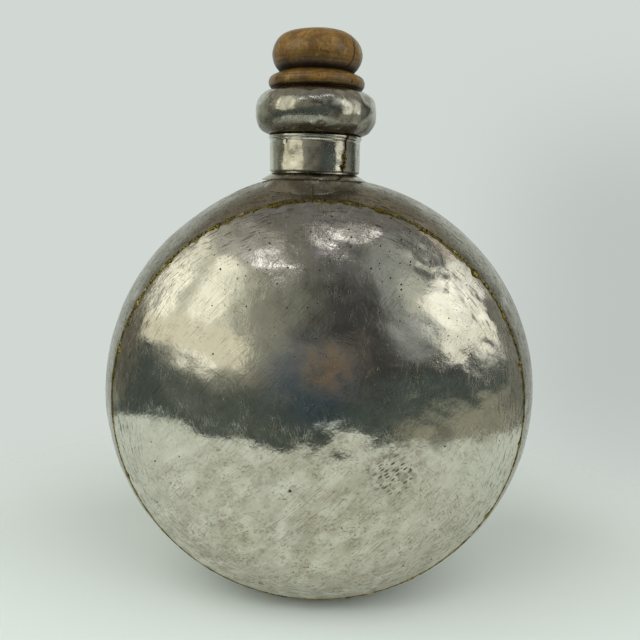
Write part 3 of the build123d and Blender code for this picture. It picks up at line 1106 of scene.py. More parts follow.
@dataclass(frozen=True)
class Stopper:
    """The turned stopper: bun-shaped knob, disc and tapered plug in one piece of wood.

    Lengths are in millimetres. The disc's shoulder and the knob's flank are a radius and a
    height. The crack's path is heights with turns in degrees, and a nick is a turn, a radius
    and a height.
    """

    body: Body
    plug_bottom: float = 270.8
    plug_low_radius: float = 18.15
    plug_top_radius: float = 19.43
    plug_chamfer: float = 1.5
    disc_bottom: float = 300.6
    disc_foot_radius: float = 25.83
    disc_radius: float = 27.3
    disc_widest_height: float = 303.64
    disc_shoulder: Span = (24.57, 307.51)
    disc_top: float = 309.4
    knob_foot_radius: float = 20.48
    knob_radius: float = 25.6
    knob_flank: Span = (24.4, 314.0)
    knob_widest_height: float = 318.64
    knob_top: float = 333.1
    knob_shoulder_share: float = 0.86
    pole_radius: float = 0.4
    plug_spacing: float = 1.1
    spacing: float = 0.42
    column_step: float = 0.029
    fine_step: float = 0.0048
    fine_middle: float = math.radians(53)
    fine_half_width: float = 0.16
    turning_marks: ToolMarks = (Waves(1.7, 0.02, 131), Waves(5, 0.03, 132))
    worn_marks: ToolMarks = (Waves(16, 0.08, 133),)
    plug_margin: float = 1.5
    crack_depth: float = 0.55
    crack_half_width: float = 0.85
    crack_slope: float = 1.4
    crack_taper: float = 8.0
    crack_wander: Swings = ((0.008, 2.1, 0.0),)
    crack_path: tuple[Span, ...] = (
        (309.6, 47.0), (311.0, 49.5), (314.4, 53.4), (319.0, 54.4), (326.8, 56.5), (330.0, 58.5)
    )
    nick_radius: float = 1.3
    nick_depth: float = 0.35
    nicks: tuple[Place, ...] = ((-51.0, 27.2, 303.8), (47.0, 27.1, 302.6))
    turned_least: float = 0.25
    turned_fade: float = 5.0
    # Painted shade in the groove under the knob; darker wood on the plug below the disc
    shade_in_groove: Span = (1.0, 2.6)
    foot_grime_and_shade: Span = (1.6, 0.8)

    @property
    def lathe(self) -> Lathe:
        """The stopper's upright axis. Angles run from the front towards +X."""
        return upright(self.body.neck_offset)

    def profile(self) -> np.ndarray:
        """The outline from the plug's bottom up to near the crown, as (radius, height) rows."""
        plug = np.array([
            (self.pole_radius, self.plug_bottom),
            (self.plug_low_radius - self.plug_chamfer, self.plug_bottom),
            (self.plug_low_radius, self.plug_bottom + self.plug_chamfer),
            (self.plug_top_radius, self.disc_bottom),
            (self.disc_foot_radius, self.disc_bottom),
        ])
        disc = through(
            (self.disc_foot_radius, self.disc_bottom),
            (self.disc_radius, self.disc_widest_height),
            self.disc_shoulder,
            24,
        )
        step = np.array([self.disc_shoulder, (self.knob_foot_radius, self.disc_top)])
        flank = through(
            (self.knob_foot_radius, self.disc_top),
            self.knob_flank,
            (self.knob_radius, self.knob_widest_height),
            24,
        )
        rise = self.knob_top - self.knob_widest_height
        shoulder = rise * self.knob_shoulder_share
        crown = (self.knob_radius**2 + rise**2 - 2 * self.knob_radius * shoulder) / (
            2 * (rise - shoulder)
        )
        centre = self.knob_radius - shoulder
        join = math.atan2(crown - rise, centre)
        bun = arc((centre, self.knob_widest_height), shoulder, 0, join, 24)
        last = math.pi / 2 - self.pole_radius / crown
        top = arc((0, self.knob_top - crown), crown, join, last, 40)
        above = np.vstack([disc, step[1:], flank[1:], bun[1:], top[1:]])
        return np.vstack([resampled(plug, self.plug_spacing)[:-1], resampled(above, self.spacing)])

    def crack(self, points: np.ndarray, angles: np.ndarray) -> np.ndarray:
        """How near each point is to the crack: 1 on it, 0 from its half width away.

        Args:
            points: The stopper's points.
            angles: Their angles from the front towards +X.

        Returns:
            The share of crack at each point. It follows its path up the knob and thins out.
        """
        height = points[:, 2]
        path_heights, path_angles = np.array(self.crack_path).T
        centre = np.radians(np.interp(height, path_heights, path_angles))
        centre = centre + wander(height, self.crack_wander)
        apart = np.abs(apart_round(angles, centre)) * self.knob_radius
        end = path_heights[-1]
        half_width = self.crack_half_width * (1 - smooth_step(height, end - self.crack_taper, end))
        half_width = half_width * smooth_step(height, self.disc_top, self.disc_top + 1)
        return np.clip(self.crack_slope * (1 - apart / np.maximum(half_width, TINY)), 0, 1)

    def build(self, bench: Workbench) -> None:
        """Makes and places the stopper."""
        profile = self.profile()
        start = self.fine_middle - self.fine_half_width
        end = start + 2 * self.fine_half_width
        coarse = np.arange(end, start + 2 * math.pi, self.column_step)
        angles = np.concatenate([np.arange(start, end, self.fine_step), coarse])
        poles = (np.array([self.body.neck_offset, 0, z]) for z in (self.plug_bottom, self.knob_top))
        net = Net.of_grid(self.lathe.turn(*profile.T, angles), True, False, *poles)
        height = net.points[:, 2]
        from_axis = net.points - np.array(self.lathe.centre)
        crack = self.crack(net.points, np.arctan2(from_axis[:, 0], -from_axis[:, 1]))
        level = net.points * np.array([0, 0, 1])
        uneven = tool_marks(level, self.turning_marks) + tool_marks(net.points, self.worn_marks)
        wood = smooth_step(height - self.disc_bottom, 0, self.plug_margin)
        nicks = self.lathe.places(*np.array(self.nicks).T)
        nick = mounds(net.points, np.array([(*place, self.nick_radius, 1.0) for place in nicks]))
        net = net.displaced(uneven * wood - self.crack_depth * crack - self.nick_depth * nick)
        flank = self.knob_flank[1]
        turned = 1 - (1 - self.turned_least) * smooth_step(height, flank, flank + self.turned_fade)
        # Painted shade in the groove under the knob where the disc shades it, plus darker wood on
        # the plug and in the nicks
        above, width = self.shade_in_groove
        groove = bell(height, self.disc_top + above, width)
        reach, amount = self.foot_grime_and_shade
        foot = amount * (1 - smooth_step(height - self.disc_bottom, 0, reach))
        bench.place(
            "turned_stopper", net, Slot.TURNED_WOOD, ("stopper",), Carrier.STOPPER,
            {"crack": crack, "grime_and_painted_shade": groove + foot + nick, "turned": turned},
        )


# Finishes


class Pattern(Enum):
    """What decides where a film lies."""

    NOISE = "cloudy noise"
    SPOTS = "scattered round spots"
    PITS = "scattered round spots on a surface that faces along Y"


# The soft share of a spot's radius, the noise where clouds start and are whole, and the share
# of its radius within which a film that is kept to a place is whole
SPOT_EDGE = 0.25
CLOUD_LEVEL = (0.42, 0.6)
WHOLE_WITHIN = 0.35


@dataclass(frozen=True)
class Film:
    """One film of colour over those below it, laid where its pattern reaches a level.

    Attributes:
        colour: The film's colour.
        size: The pattern's cells, in millimetres.
        level: The pattern's values where the film starts and where it is whole.
        amount: The film's share where it is whole.
        detail: Octaves of finer noise.
        stretch: How many times longer the pattern is along x, y and z.
        lean: Turn of the stretched pattern about +Y, in degrees.
        roughness: What the whole film adds to the roughness.
        relief: The whole film's height in millimetres, below zero for a hollow.
        around: A place, and the radius in millimetres that the film is kept to.
        painted: A vertex attribute that the film is kept to.
        pattern: Noise, or spots of which the level picks some.
        spot_radius: The largest spot's radius in millimetres.
        clouds: Size in millimetres of the clouds that it comes in, or 0 for an even spread.
    """

    colour: str
    size: float
    level: Span = (0.5, 0.7)
    amount: float = 1.0
    detail: float = 4.0
    stretch: Place = (1.0, 1.0, 1.0)
    lean: float = 0.0
    roughness: float = 0.0
    relief: float = 0.0
    around: tuple[Place, float] | None = None
    painted: str = ""
    pattern: Pattern = Pattern.NOISE
    spot_radius: float = 0.4
    clouds: float = 0.0

    def share(self, add: AddNode, place: Socket) -> Socket:
        """Draws the pattern, kept to its place and its paint.

        Args:
            add: Adds a node to the material.
            place: Coordinates in metres.

        Returns:
            The film's share at each point.
        """
        turned = add(
            "Mapping",
            {"Vector": place, "Rotation": (0.0, math.radians(self.lean), 0.0),
             "Scale": self.stretch},
            vector_type="TEXTURE",
        )
        level = self.level
        if self.pattern is Pattern.NOISE:
            cells = {"Scale": per(self.size), "Detail": self.detail}
            value = add("TexNoise", {"Vector": turned, **cells})
        else:
            flat = self.pattern is Pattern.PITS
            if flat:
                split = add("SeparateXYZ", {"Vector": turned})
                turned = add("CombineXYZ", {"X": split, "Y": split.node.outputs["Z"]})
            cells = add(
                "TexVoronoi", {"Vector": turned, "Scale": per(self.size)},
                voronoi_dimensions="2D" if flat else "3D",
            )
            chance = add("SeparateColor", {"Color": cells.node.outputs["Color"]})
            largest = self.spot_radius / self.size
            radius = add("MapRange", {"Value": chance, **between(level), "To Max": largest})
            value = add("Math", {0: radius, 1: cells}, operation="SUBTRACT")
            level = (0.0, SPOT_EDGE * largest)
        share = add("MapRange", {"Value": value, **between(level), "To Max": self.amount}, **EASED)
        kept = []
        if self.clouds:
            veil = add("TexNoise", {"Vector": place, "Scale": per(self.clouds), "Detail": 2.0})
            kept.append(add("MapRange", {"Value": veil, **between(CLOUD_LEVEL)}))
        if self.around:
            centre, radius = self.around
            apart = add("VectorMath", {0: place, 1: metres(centre)}, operation="DISTANCE")
            span = between(metres((radius, WHOLE_WITHIN * radius)))
            kept.append(add("MapRange", {"Value": apart.node.outputs["Value"], **span}, **EASED))
        if self.painted:
            kept.append(add("Attribute", attribute_name=self.painted).node.outputs["Fac"])
        for factor in kept:
            share = add("Math", {0: share, 1: factor}, operation="MULTIPLY")
        return share


@dataclass(frozen=True)
class Finish:
    """A finish that becomes one material for one slot of the record.

    Attributes:
        name: The material's name.
        base: The colour under all films.
        roughness: The roughness under all films.
        grain: Size and height in millimetres of the fine unevenness of the surface.
        films: The films, from the lowest to the uppermost.
        metallic: 1 for metal, 0 for wood.
    """

    name: str
    base: str
    roughness: float
    grain: Span
    films: tuple[Film, ...]
    metallic: float = 1.0

    def laid(self, add: AddNode, place: Socket) -> list[tuple[Film, Socket]]:
        """The films with their shares, from the lowest to the uppermost."""
        return [(film, film.share(add, place)) for film in self.films]

    def material(self) -> bpy.types.Material:
        """Makes the material: the films mixed over the base, and their relief on the grain."""
        material = bpy.data.materials.new(self.name)
        add = emptied(material)
        place = add("TexCoord").node.outputs["Object"]
        size, depth = self.grain
        grain = add("TexNoise", {"Vector": place, "Scale": per(size), "Detail": 4.0})
        height = add("Math", {0: grain, 1: depth}, operation="MULTIPLY")
        colour, roughness = linear(self.base), self.roughness
        for film, share in self.laid(add, place):
            colour = add(
                "Mix", {"Factor": share, "A": colour, "B": linear(film.colour)}, data_type="RGBA"
            )
            if film.roughness:
                roughness = add(
                    "Math", {0: share, 1: film.roughness, 2: roughness}, operation="MULTIPLY_ADD"
                )
            if film.relief:
                height = add(
                    "Math", {0: share, 1: film.relief, 2: height}, operation="MULTIPLY_ADD"
                )
        normal = add("Bump", {"Height": height, "Distance": METRES_PER_MM, "Strength": 1.0})
        surface = add(
            "BsdfPrincipled",
            {"Base Color": colour, "Metallic": self.metallic, "Roughness": roughness,
             "Normal": normal},
        )
        add("OutputMaterial", {"Surface": surface})
        return material


@dataclass(frozen=True)
class TinnedSheet(Finish):
    """Hand-hammered iron sheet, hot-tinned, then rubbed and scoured for decades.

    The eye sees a warm grey mirror: faint clouds in the tin, brown iron coming through in
    flecks, dark rust pits, fine scour lines, and a brass stain by the seams. A blue patch and a
    pinkish one near the front apex are painted reflection of the camera's side of the room.
    The stain's lengths and spans are in millimetres. Below the start of stain_height it is
    narrow, and above its end it is wide, as stain_reach says. The scratches bend by noise of a
    size and a reach, and wear off in patches.
    """

    name: str = "worn_tinned_iron_sheet"
    base: str = "#d3d0c4"
    roughness: float = 0.1
    grain: Span = (5.5, 0.08)
    films: tuple[Film, ...] = (
        Film("#d3d0c4", 2.2, (0.3, 0.7), detail=3, relief=0.014),
        Film("#bab6a8", 38, (0.4, 0.66), 0.45, roughness=0.02),
        Film("#d3d0c4", 0.5, (0.44, 0.68), 0.9, stretch=(1, 12, 12), lean=8, roughness=0.15,
             relief=0.004, clouds=13),
        Film("#d3d0c4", 0.5, (0.46, 0.68), 0.9, stretch=(1, 9, 9), lean=-24, roughness=0.13,
             relief=0.004, clouds=10),
        Film("#857964", 11, (0.5, 0.72), 0.19, detail=6, roughness=0.05),
        Film("#b6aa8f", 30, (0.2, 0.5), 0.38, detail=6, around=((-5, -70, 28), 148)),
        Film("#8f8570", 26, (0.2, 0.5), 0.2, detail=6, around=((4, -80, 92), 42)),
        Film("#8a7d64", 6, (0.42, 0.66), 0.26, detail=9, stretch=(1, 1, 1.6), lean=38,
             around=((-5, -60, 40), 150), roughness=0.05),
        Film("#f2eee0", 10, (0.46, 0.66), 0.42, detail=9, stretch=(1, 1, 2), lean=34,
             around=((-20, -60, 45), 130)),
        Film("#6f6550", 1.1, (0.46, 0.66), 0.5, detail=6, stretch=(1, 2.5, 2.5), lean=42,
             clouds=9, around=((0, -60, 40), 150), roughness=0.08),
        Film("#f3efe2", 0.9, (0.5, 0.7), 0.28, detail=6, stretch=(1, 3, 3), lean=-32,
             clouds=7, around=((0, -60, 40), 150)),
        Film("#7b7460", 0.45, (0.55, 0.68), 0.6, stretch=(1, 26, 26), lean=40, roughness=0.06,
             clouds=16),
        Film("#8b846d", 0.5, (0.57, 0.7), 0.45, stretch=(1, 20, 20), lean=-58, roughness=0.06,
             clouds=13),
        Film("#f0ede0", 0.5, (0.57, 0.7), 0.5, stretch=(1, 24, 24), lean=52, clouds=14),
        Film("#665e4a", 0.5, (0.6, 0.7), 0.55, stretch=(9, 9, 1), lean=12, clouds=11),
        # Painted reflection: a blue patch and a pinkish one near the apex, where the dome faces the
        # camera
        Film("#5c7fae", 16, (0.24, 0.5), 0.5, around=((-2, -84, 152), 33)),
        Film("#dac3a6", 9, (0.3, 0.56), 0.7, detail=6, around=((5, -84, 159), 17)),
        Film("#56544a", 9, (0.3, 0.5), 0.5, around=((64, -72, 121), 12), roughness=0.05),
        Film("#665438", 1.5, (0.57, 0.68), 0.6, around=((-5, -60, 50), 150), roughness=0.18,
             clouds=10),
        Film("#6f6048", 1.1, (0.6, 0.7), 0.4, roughness=0.15, clouds=12),
        Film("#9b917c", 14, (0.3, 0.56), 0.55, around=((-6, 0, 250), 96), roughness=0.14),
        Film("#8d8574", 16, (0.2, 0.5), 0.6, painted="band", roughness=0.15),
        Film("#574d3c", 1.6, (0.5, 0.64), 0.5, detail=5, painted="band", roughness=0.1),
        Film("#3a3128", 7, (0.6, 0.9), 0.9, pattern=Pattern.SPOTS, spot_radius=0.45,
             painted="band", relief=-0.1, roughness=0.4),
        Film("#2c251d", 5.2, (0.45, 0.95), 0.95, pattern=Pattern.PITS, spot_radius=0.55,
             painted="dome", around=((20, -60, 216), 96), relief=-0.12, roughness=0.3),
        Film("#3a3128", 17, (0.4, 1.0), 0.95, pattern=Pattern.PITS, spot_radius=0.6,
             painted="dome", relief=-0.15, roughness=0.4),
        Film("#3a3226", 1.6, (0.0, 0.6), 0.85, stretch=(3, 1, 1), lean=-35, pattern=Pattern.PITS,
             spot_radius=0.5, painted="dome", around=((41, -79, 102), 16), relief=-0.1,
             roughness=0.3),
        Film("#565040", 0.45, (0.56, 0.66), 0.6, stretch=(1, 16, 16), lean=-24, clouds=8,
             around=((78, -55, 86), 50), roughness=0.06),
        Film("#6b6149", 5, (0.44, 0.62), 0.5, detail=6, around=((42, -79, 106), 24)),
        Film("#2a211a", 50, (0.0, 0.1), 0.95, around=((-11.6, -81.2, 93.0), 1.3), relief=-0.1),
        Film("#4a3d2e", 50, (0.0, 0.1), 0.9, around=((-13.5, -78.5, 80.3), 0.9), relief=-0.1),
    )
    rim_marks: Film = Film("#575041", 0.6, (0.54, 0.66), 0.7, stretch=(1, 12, 4), roughness=0.12)
    stain: Film = Film("#736838", 6, (0.2, 0.3), 0.92, roughness=0.16)
    scratch: Film = Film("#7d7460", 1, roughness=0.15, relief=-0.08)
    scratches: tuple[tuple[Place, Place], ...] = (
        ((-26.3, 0, 65.8), (8.6, 0, 100.3)),
        ((-24.6, 0, 65.2), (6.0, 0, 96.0)),
        ((-16.8, 0, 61.5), (18.8, 0, 96.3)),
    )
    rim_marks_span: Span = (84.0, 108.0)
    stain_patch: float = 9.0
    stain_level: float = 0.42
    stain_height: Span = (-20.0, 90.0)
    stain_reach: Span = (3.0, 10.0)
    stain_least: float = 0.4
    stain_fade: Span = (0.7, -0.4)
    stain_amount: float = 0.8
    scratch_bend: Span = (14.0, 2.2)
    scratch_fade: Span = (0.4, 0.1)
    scratch_patch: float = 5.0
    scratch_level: Span = (0.4, 0.62)
    scratch_amount: float = 0.6
    body: Body = Body()

    def laid(self, add: AddNode, place: Socket) -> list[tuple[Film, Socket]]:
        """The films, then the marks round the rim, the scratches and the stain by the seams.

        Args:
            add: Adds a node to the material.
            place: Object coordinates.

        Returns:
            The films with their shares. Round the rim the pattern follows (radius, travel, y).
        """
        axis = metres((0, 0, self.body.centre_height))
        from_axis = add("VectorMath", {0: place, 1: axis}, operation="SUBTRACT")
        split = add("SeparateXYZ", {"Vector": from_axis})
        depth, up = split.node.outputs["Y"], split.node.outputs["Z"]
        flat = add("VectorMath", {0: from_axis, 1: (1.0, 0.0, 1.0)}, operation="MULTIPLY")
        radius = add("VectorMath", {0: flat}, operation="LENGTH").node.outputs["Value"]
        angle = add("Math", {0: split, 1: up}, operation="ARCTAN2")
        seam_radius = self.body.seam_radius * METRES_PER_MM
        travel = add("Math", {0: angle, 1: seam_radius}, operation="MULTIPLY")
        round_rim = add("CombineXYZ", {"X": radius, "Y": travel, "Z": depth})
        marks = self.rim_marks.share(add, round_rim)
        span = between(metres(self.rim_marks_span))
        near_rim = add("MapRange", {"Value": radius, **span}, **EASED)
        marks = add("Math", {0: marks, 1: near_rim}, operation="MULTIPLY")
        stain = self.stain_share(add, radius, depth, up, round_rim)
        lines = self.scratch_share(add, place, flat, depth)
        more = [(self.rim_marks, marks), (self.scratch, lines), (self.stain, stain)]
        return super().laid(add, place) + more

    def stain_share(
        self,
        add: AddNode,
        radius: Socket,
        depth: Socket,
        up: Socket,
        round_rim: Socket,
    ) -> Socket:
        """The share of brass stain by the seams, wider towards the top and ragged.

        Args:
            add: Adds a node to the material.
            radius: Distance from the body's axis.
            depth: Y.
            up: Height above the body's axis.
            round_rim: Coordinates that follow the rim.

        Returns:
            Its amount within its width of a seam's circle, and 0 from just beyond it.
        """
        seam_radius, seam_y = metres((self.body.seam_radius, self.body.seam_y))
        off_radius = add("Math", {0: radius, 1: seam_radius}, operation="SUBTRACT")
        depth = add("Math", {0: depth}, operation="ABSOLUTE")
        off_depth = add("Math", {0: depth, 1: seam_y}, operation="SUBTRACT")
        both = add("CombineXYZ", {"X": off_radius, "Y": off_depth})
        apart = add("VectorMath", {0: both}, operation="LENGTH").node.outputs["Value"]
        patches = add(
            "TexNoise", {"Vector": round_rim, "Scale": per(self.stain_patch), "Detail": 5.0}
        )
        span = between(metres(self.stain_height))
        narrow, wide = metres(self.stain_reach)
        reach = add("MapRange", {"Value": up, **span, "To Min": narrow, "To Max": wide})
        above = add("Math", {0: patches, 1: self.stain_level}, operation="SUBTRACT")
        least = self.stain_least * METRES_PER_MM
        width = add("Math", {0: above, 1: reach, 2: least}, operation="MULTIPLY_ADD")
        beyond = add("Math", {0: apart, 1: width}, operation="SUBTRACT")
        span = between(metres(self.stain_fade))
        return add("MapRange", {"Value": beyond, **span, "To Max": self.stain_amount}, **EASED)

    def scratch_share(self, add: AddNode, place: Socket, flat: Socket, depth: Socket) -> Socket:
        """The share of the long scratches on the front dome.

        A point is on a scratch where its distance to start + t (end - start) is nil, with t the
        projection's share kept between 0 and 1.

        Args:
            add: Adds a node to the material.
            place: Object coordinates.
            flat: The offset from the body's axis, without its Y.
            depth: Y.

        Returns:
            Its amount on a scratch's line, and 0 well beside it or off the front dome.
        """
        bend_size, bend_reach = self.scratch_bend
        bend = add("TexNoise", {"Vector": place, "Scale": per(bend_size), "Detail": 3.0})
        bend = add(
            "VectorMath",
            {0: bend.node.outputs["Color"], "Scale": bend_reach * METRES_PER_MM},
            operation="SCALE",
        )
        bent = add("VectorMath", {0: flat, 1: bend}, operation="ADD")
        nearest = 1.0
        for start, end in self.scratches:
            first = Vector(metres(start)) - Vector(metres((0, 0, self.body.centre_height)))
            run = Vector(metres(end)) - Vector(metres(start))
            offset = add("VectorMath", {0: bent, 1: first}, operation="SUBTRACT")
            level = add("VectorMath", {0: offset, 1: (1.0, 0.0, 1.0)}, operation="MULTIPLY")
            along = add("VectorMath", {0: level, 1: run / run.length_squared},
                        operation="DOT_PRODUCT").node.outputs["Value"]
            along = add("Clamp", {"Value": along})
            foot = add("VectorMath", {0: run, "Scale": along}, operation="SCALE")
            apart = add("VectorMath", {0: level, 1: foot}, operation="DISTANCE")
            nearest = add("Math", {0: apart.node.outputs["Value"], 1: nearest}, operation="MINIMUM")
        worn = add("TexNoise", {"Vector": place, "Scale": per(self.scratch_patch), "Detail": 3.0})
        worn = add("MapRange", {"Value": worn, **between(self.scratch_level)})
        span = between(metres(self.scratch_fade))
        line = add("MapRange", {"Value": nearest, **span, "To Max": self.scratch_amount})
        line = add("Math", {0: line, 1: worn}, operation="MULTIPLY")
        span = between(metres((-self.body.seam_y - 0.5, -self.body.seam_y - 1.5)))
        front = add("MapRange", {"Value": depth, **span})
        return add("Math", {0: line, 1: front}, operation="MULTIPLY")


@dataclass(frozen=True)
class PlanishedNeck(Finish):
    """Tinned sheet of the neck, planished smoother than the body and kept bright by hands.

    The eye sees sharper reflections, with brown grime beside the slit and in one patch, and
    painted shade at the sleeve's foot, under the bulb and under the lip.
    """

    name: str = "planished_tinned_neck"
    base: str = "#d2cfc3"
    roughness: float = 0.11
    grain: Span = (2.6, 0.04)
    films: tuple[Film, ...] = (
        Film("#a9a698", 14, (0.42, 0.64), 0.6, roughness=0.04),
        Film("#d2cfc3", 0.8, (0.46, 0.68), 0.8, roughness=0.2),
        Film("#9b9788", 3, (0.34, 0.62), 0.5, painted="bulb", roughness=0.06),
        Film("#7d705a", 5, (0.5, 0.7), 0.5, detail=6, roughness=0.12),
        Film("#8f8a79", 0.5, (0.56, 0.72), 0.4, stretch=(14, 14, 1), roughness=0.08),
        Film("#3a3128", 4.5, (0.6, 1.0), 0.85, pattern=Pattern.SPOTS, spot_radius=0.3,
             relief=-0.05, roughness=0.3),
        # Brown grime by the slit and in a patch; painted shade at the sleeve's foot, under the bulb
        # and under the lip
        Film("#4a3b24", 2.2, (0.2, 0.45), 0.9, painted="grime_and_painted_shade", roughness=0.25),
    )


@dataclass(frozen=True)
class SoftSolder(Finish):
    """Tin and lead solder wiped round the neck's foot: dull brown-grey, with a painted shadow line.
    """

    name: str = "wiped_soft_solder"
    base: str = "#aea796"
    roughness: float = 0.26
    grain: Span = (3.0, 0.14)
    films: tuple[Film, ...] = (
        Film("#7f7663", 12, (0.4, 0.62), 0.8, roughness=0.1),
        Film("#c9c5b8", 2.4, (0.6, 0.7), 0.6, roughness=-0.1),
        Film("#5b503e", 1.5, (0.58, 0.7), 0.6, roughness=0.15),
        # Painted shadow: a dark line just outside the flange's edge
        Film("#211a11", 2, (0.1, 0.3), 0.9, painted="grime_and_painted_shade", roughness=0.2),
    )


@dataclass(frozen=True)
class TarnishedBraze(Finish):
    """Brass spelter run into the joints and left as cast.

    The eye sees olive and brown-black crust with thin golden crests where it is rubbed.
    """

    name: str = "tarnished_brass_spelter"
    base: str = "#84763c"
    roughness: float = 0.3
    grain: Span = (1.2, 0.16)
    films: tuple[Film, ...] = (
        Film("#cfc08a", 4, (0.54, 0.7), 0.7, roughness=-0.1),
        Film("#2f2618", 1.3, (0.48, 0.62), 0.85, roughness=0.2, relief=-0.08),
        Film("#5a2f1c", 9, (0.62, 0.7), 0.6, roughness=0.1),
    )


@dataclass(frozen=True)
class BrownedBrass(Finish):
    """Brass sheet of the mouth, browned by damp wood, with bright wear where the plug rubs."""

    name: str = "browned_brass_lip"
    base: str = "#503e28"
    roughness: float = 0.4
    grain: Span = (2.5, 0.06)
    films: tuple[Film, ...] = (
        Film("#8a6f48", 5, (0.58, 0.7), 0.5, roughness=-0.1),
        Film("#33271a", 1.6, (0.54, 0.68), 0.7, roughness=0.1),
    )


@dataclass(frozen=True)
class TurnedHardwood(Finish):
    """Close-grained hardwood turned with its grain upright, oiled, then darkened by hands.

    The eye sees golden brown, fine darker mottling, fine turning lines round the sides, black
    painted shade in the groove under the knob, darker wood on the plug and in the nicks, and a
    dark crack.
    """

    name: str = "oiled_turned_hardwood"
    base: str = "#7b5b27"
    roughness: float = 0.31
    grain: Span = (1.1, 0.05)
    films: tuple[Film, ...] = (
        Film("#573f1e", 10, (0.4, 0.62), 0.75, stretch=(1, 1, 1.8)),
        Film("#997639", 4, (0.52, 0.68), 0.55, detail=6, stretch=(1, 1, 1.3)),
        Film("#453219", 1.5, (0.5, 0.66), 0.6, stretch=(1, 1, 1.3), relief=-0.02),
        Film("#352413", 0.7, (0.56, 0.68), 0.55, stretch=(1, 1, 2.0), relief=-0.04),
        Film("#3c2b14", 0.8, (0.5, 0.66), 0.65, detail=2, stretch=(22, 22, 1), relief=-0.03,
             painted="turned"),
        # Black painted shade in the groove under the knob, also darkening the plug and the nicks
        Film("#120b04", 3, (0.1, 0.35), 0.95, painted="grime_and_painted_shade", roughness=0.3),
        Film("#150d07", 3, (0.0, 0.1), 1.0, painted="crack", roughness=0.3),
    )
    metallic: float = 0.0


# Studio


@dataclass(frozen=True)
class RoomPatch:
    """A soft-edged patch of the room, as the metal mirrors it.

    Attributes:
        azimuth: First and last angle from -Y towards +X, in degrees.
        elevation: Lowest and highest angle above the horizon, in degrees.
        softness: Width of its soft edge, in degrees.
        colour: Its colour.
        strength: Its brightness, where 1 is paper white.
    """

    azimuth: Span
    elevation: Span
    softness: float
    colour: str
    strength: float


@dataclass(frozen=True)
class Card:
    """A glowing card for the low part of a window, which shows mostly in the neck.

    Attributes:
        name: Its name.
        azimuth: Where it stands, from -Y towards +X, in degrees.
        distance: How far from the origin it stands, in metres.
        width: Its width in metres.
        low: Its lower edge's height in metres.
        high: Its upper edge's height in metres.
        colour: Its colour.
        strength: Its brightness, where 1 is paper white.
    """

    name: str
    azimuth: float
    distance: float
    width: float
    low: float
    high: float
    colour: str
    strength: float

    def build(self) -> None:
        """Stands the card, seen by mirrored rays alone."""
        turn = math.radians(self.azimuth)
        middle = self.distance * Vector((math.sin(turn), -math.cos(turn), 0))
        reach = self.width / 2 * Vector((math.cos(turn), math.sin(turn), 0))
        low, high = Vector((0, 0, self.low)), Vector((0, 0, self.high))
        corners = [middle - reach + low, middle - reach + high,
                   middle + reach + high, middle + reach + low]
        mesh = bpy.data.meshes.new(self.name)
        mesh.from_pydata(corners, [], [(0, 1, 2, 3)])
        material = bpy.data.materials.new("glow_of_" + self.name)
        add = emptied(material)
        glow = add("Emission", {"Color": linear(self.colour), "Strength": self.strength})
        add("OutputMaterial", {"Surface": glow})
        mesh.materials.append(material)
        card = linked(self.name, mesh)
        card.visible_camera = card.visible_diffuse = card.visible_shadow = False
        card.visible_transmission = False


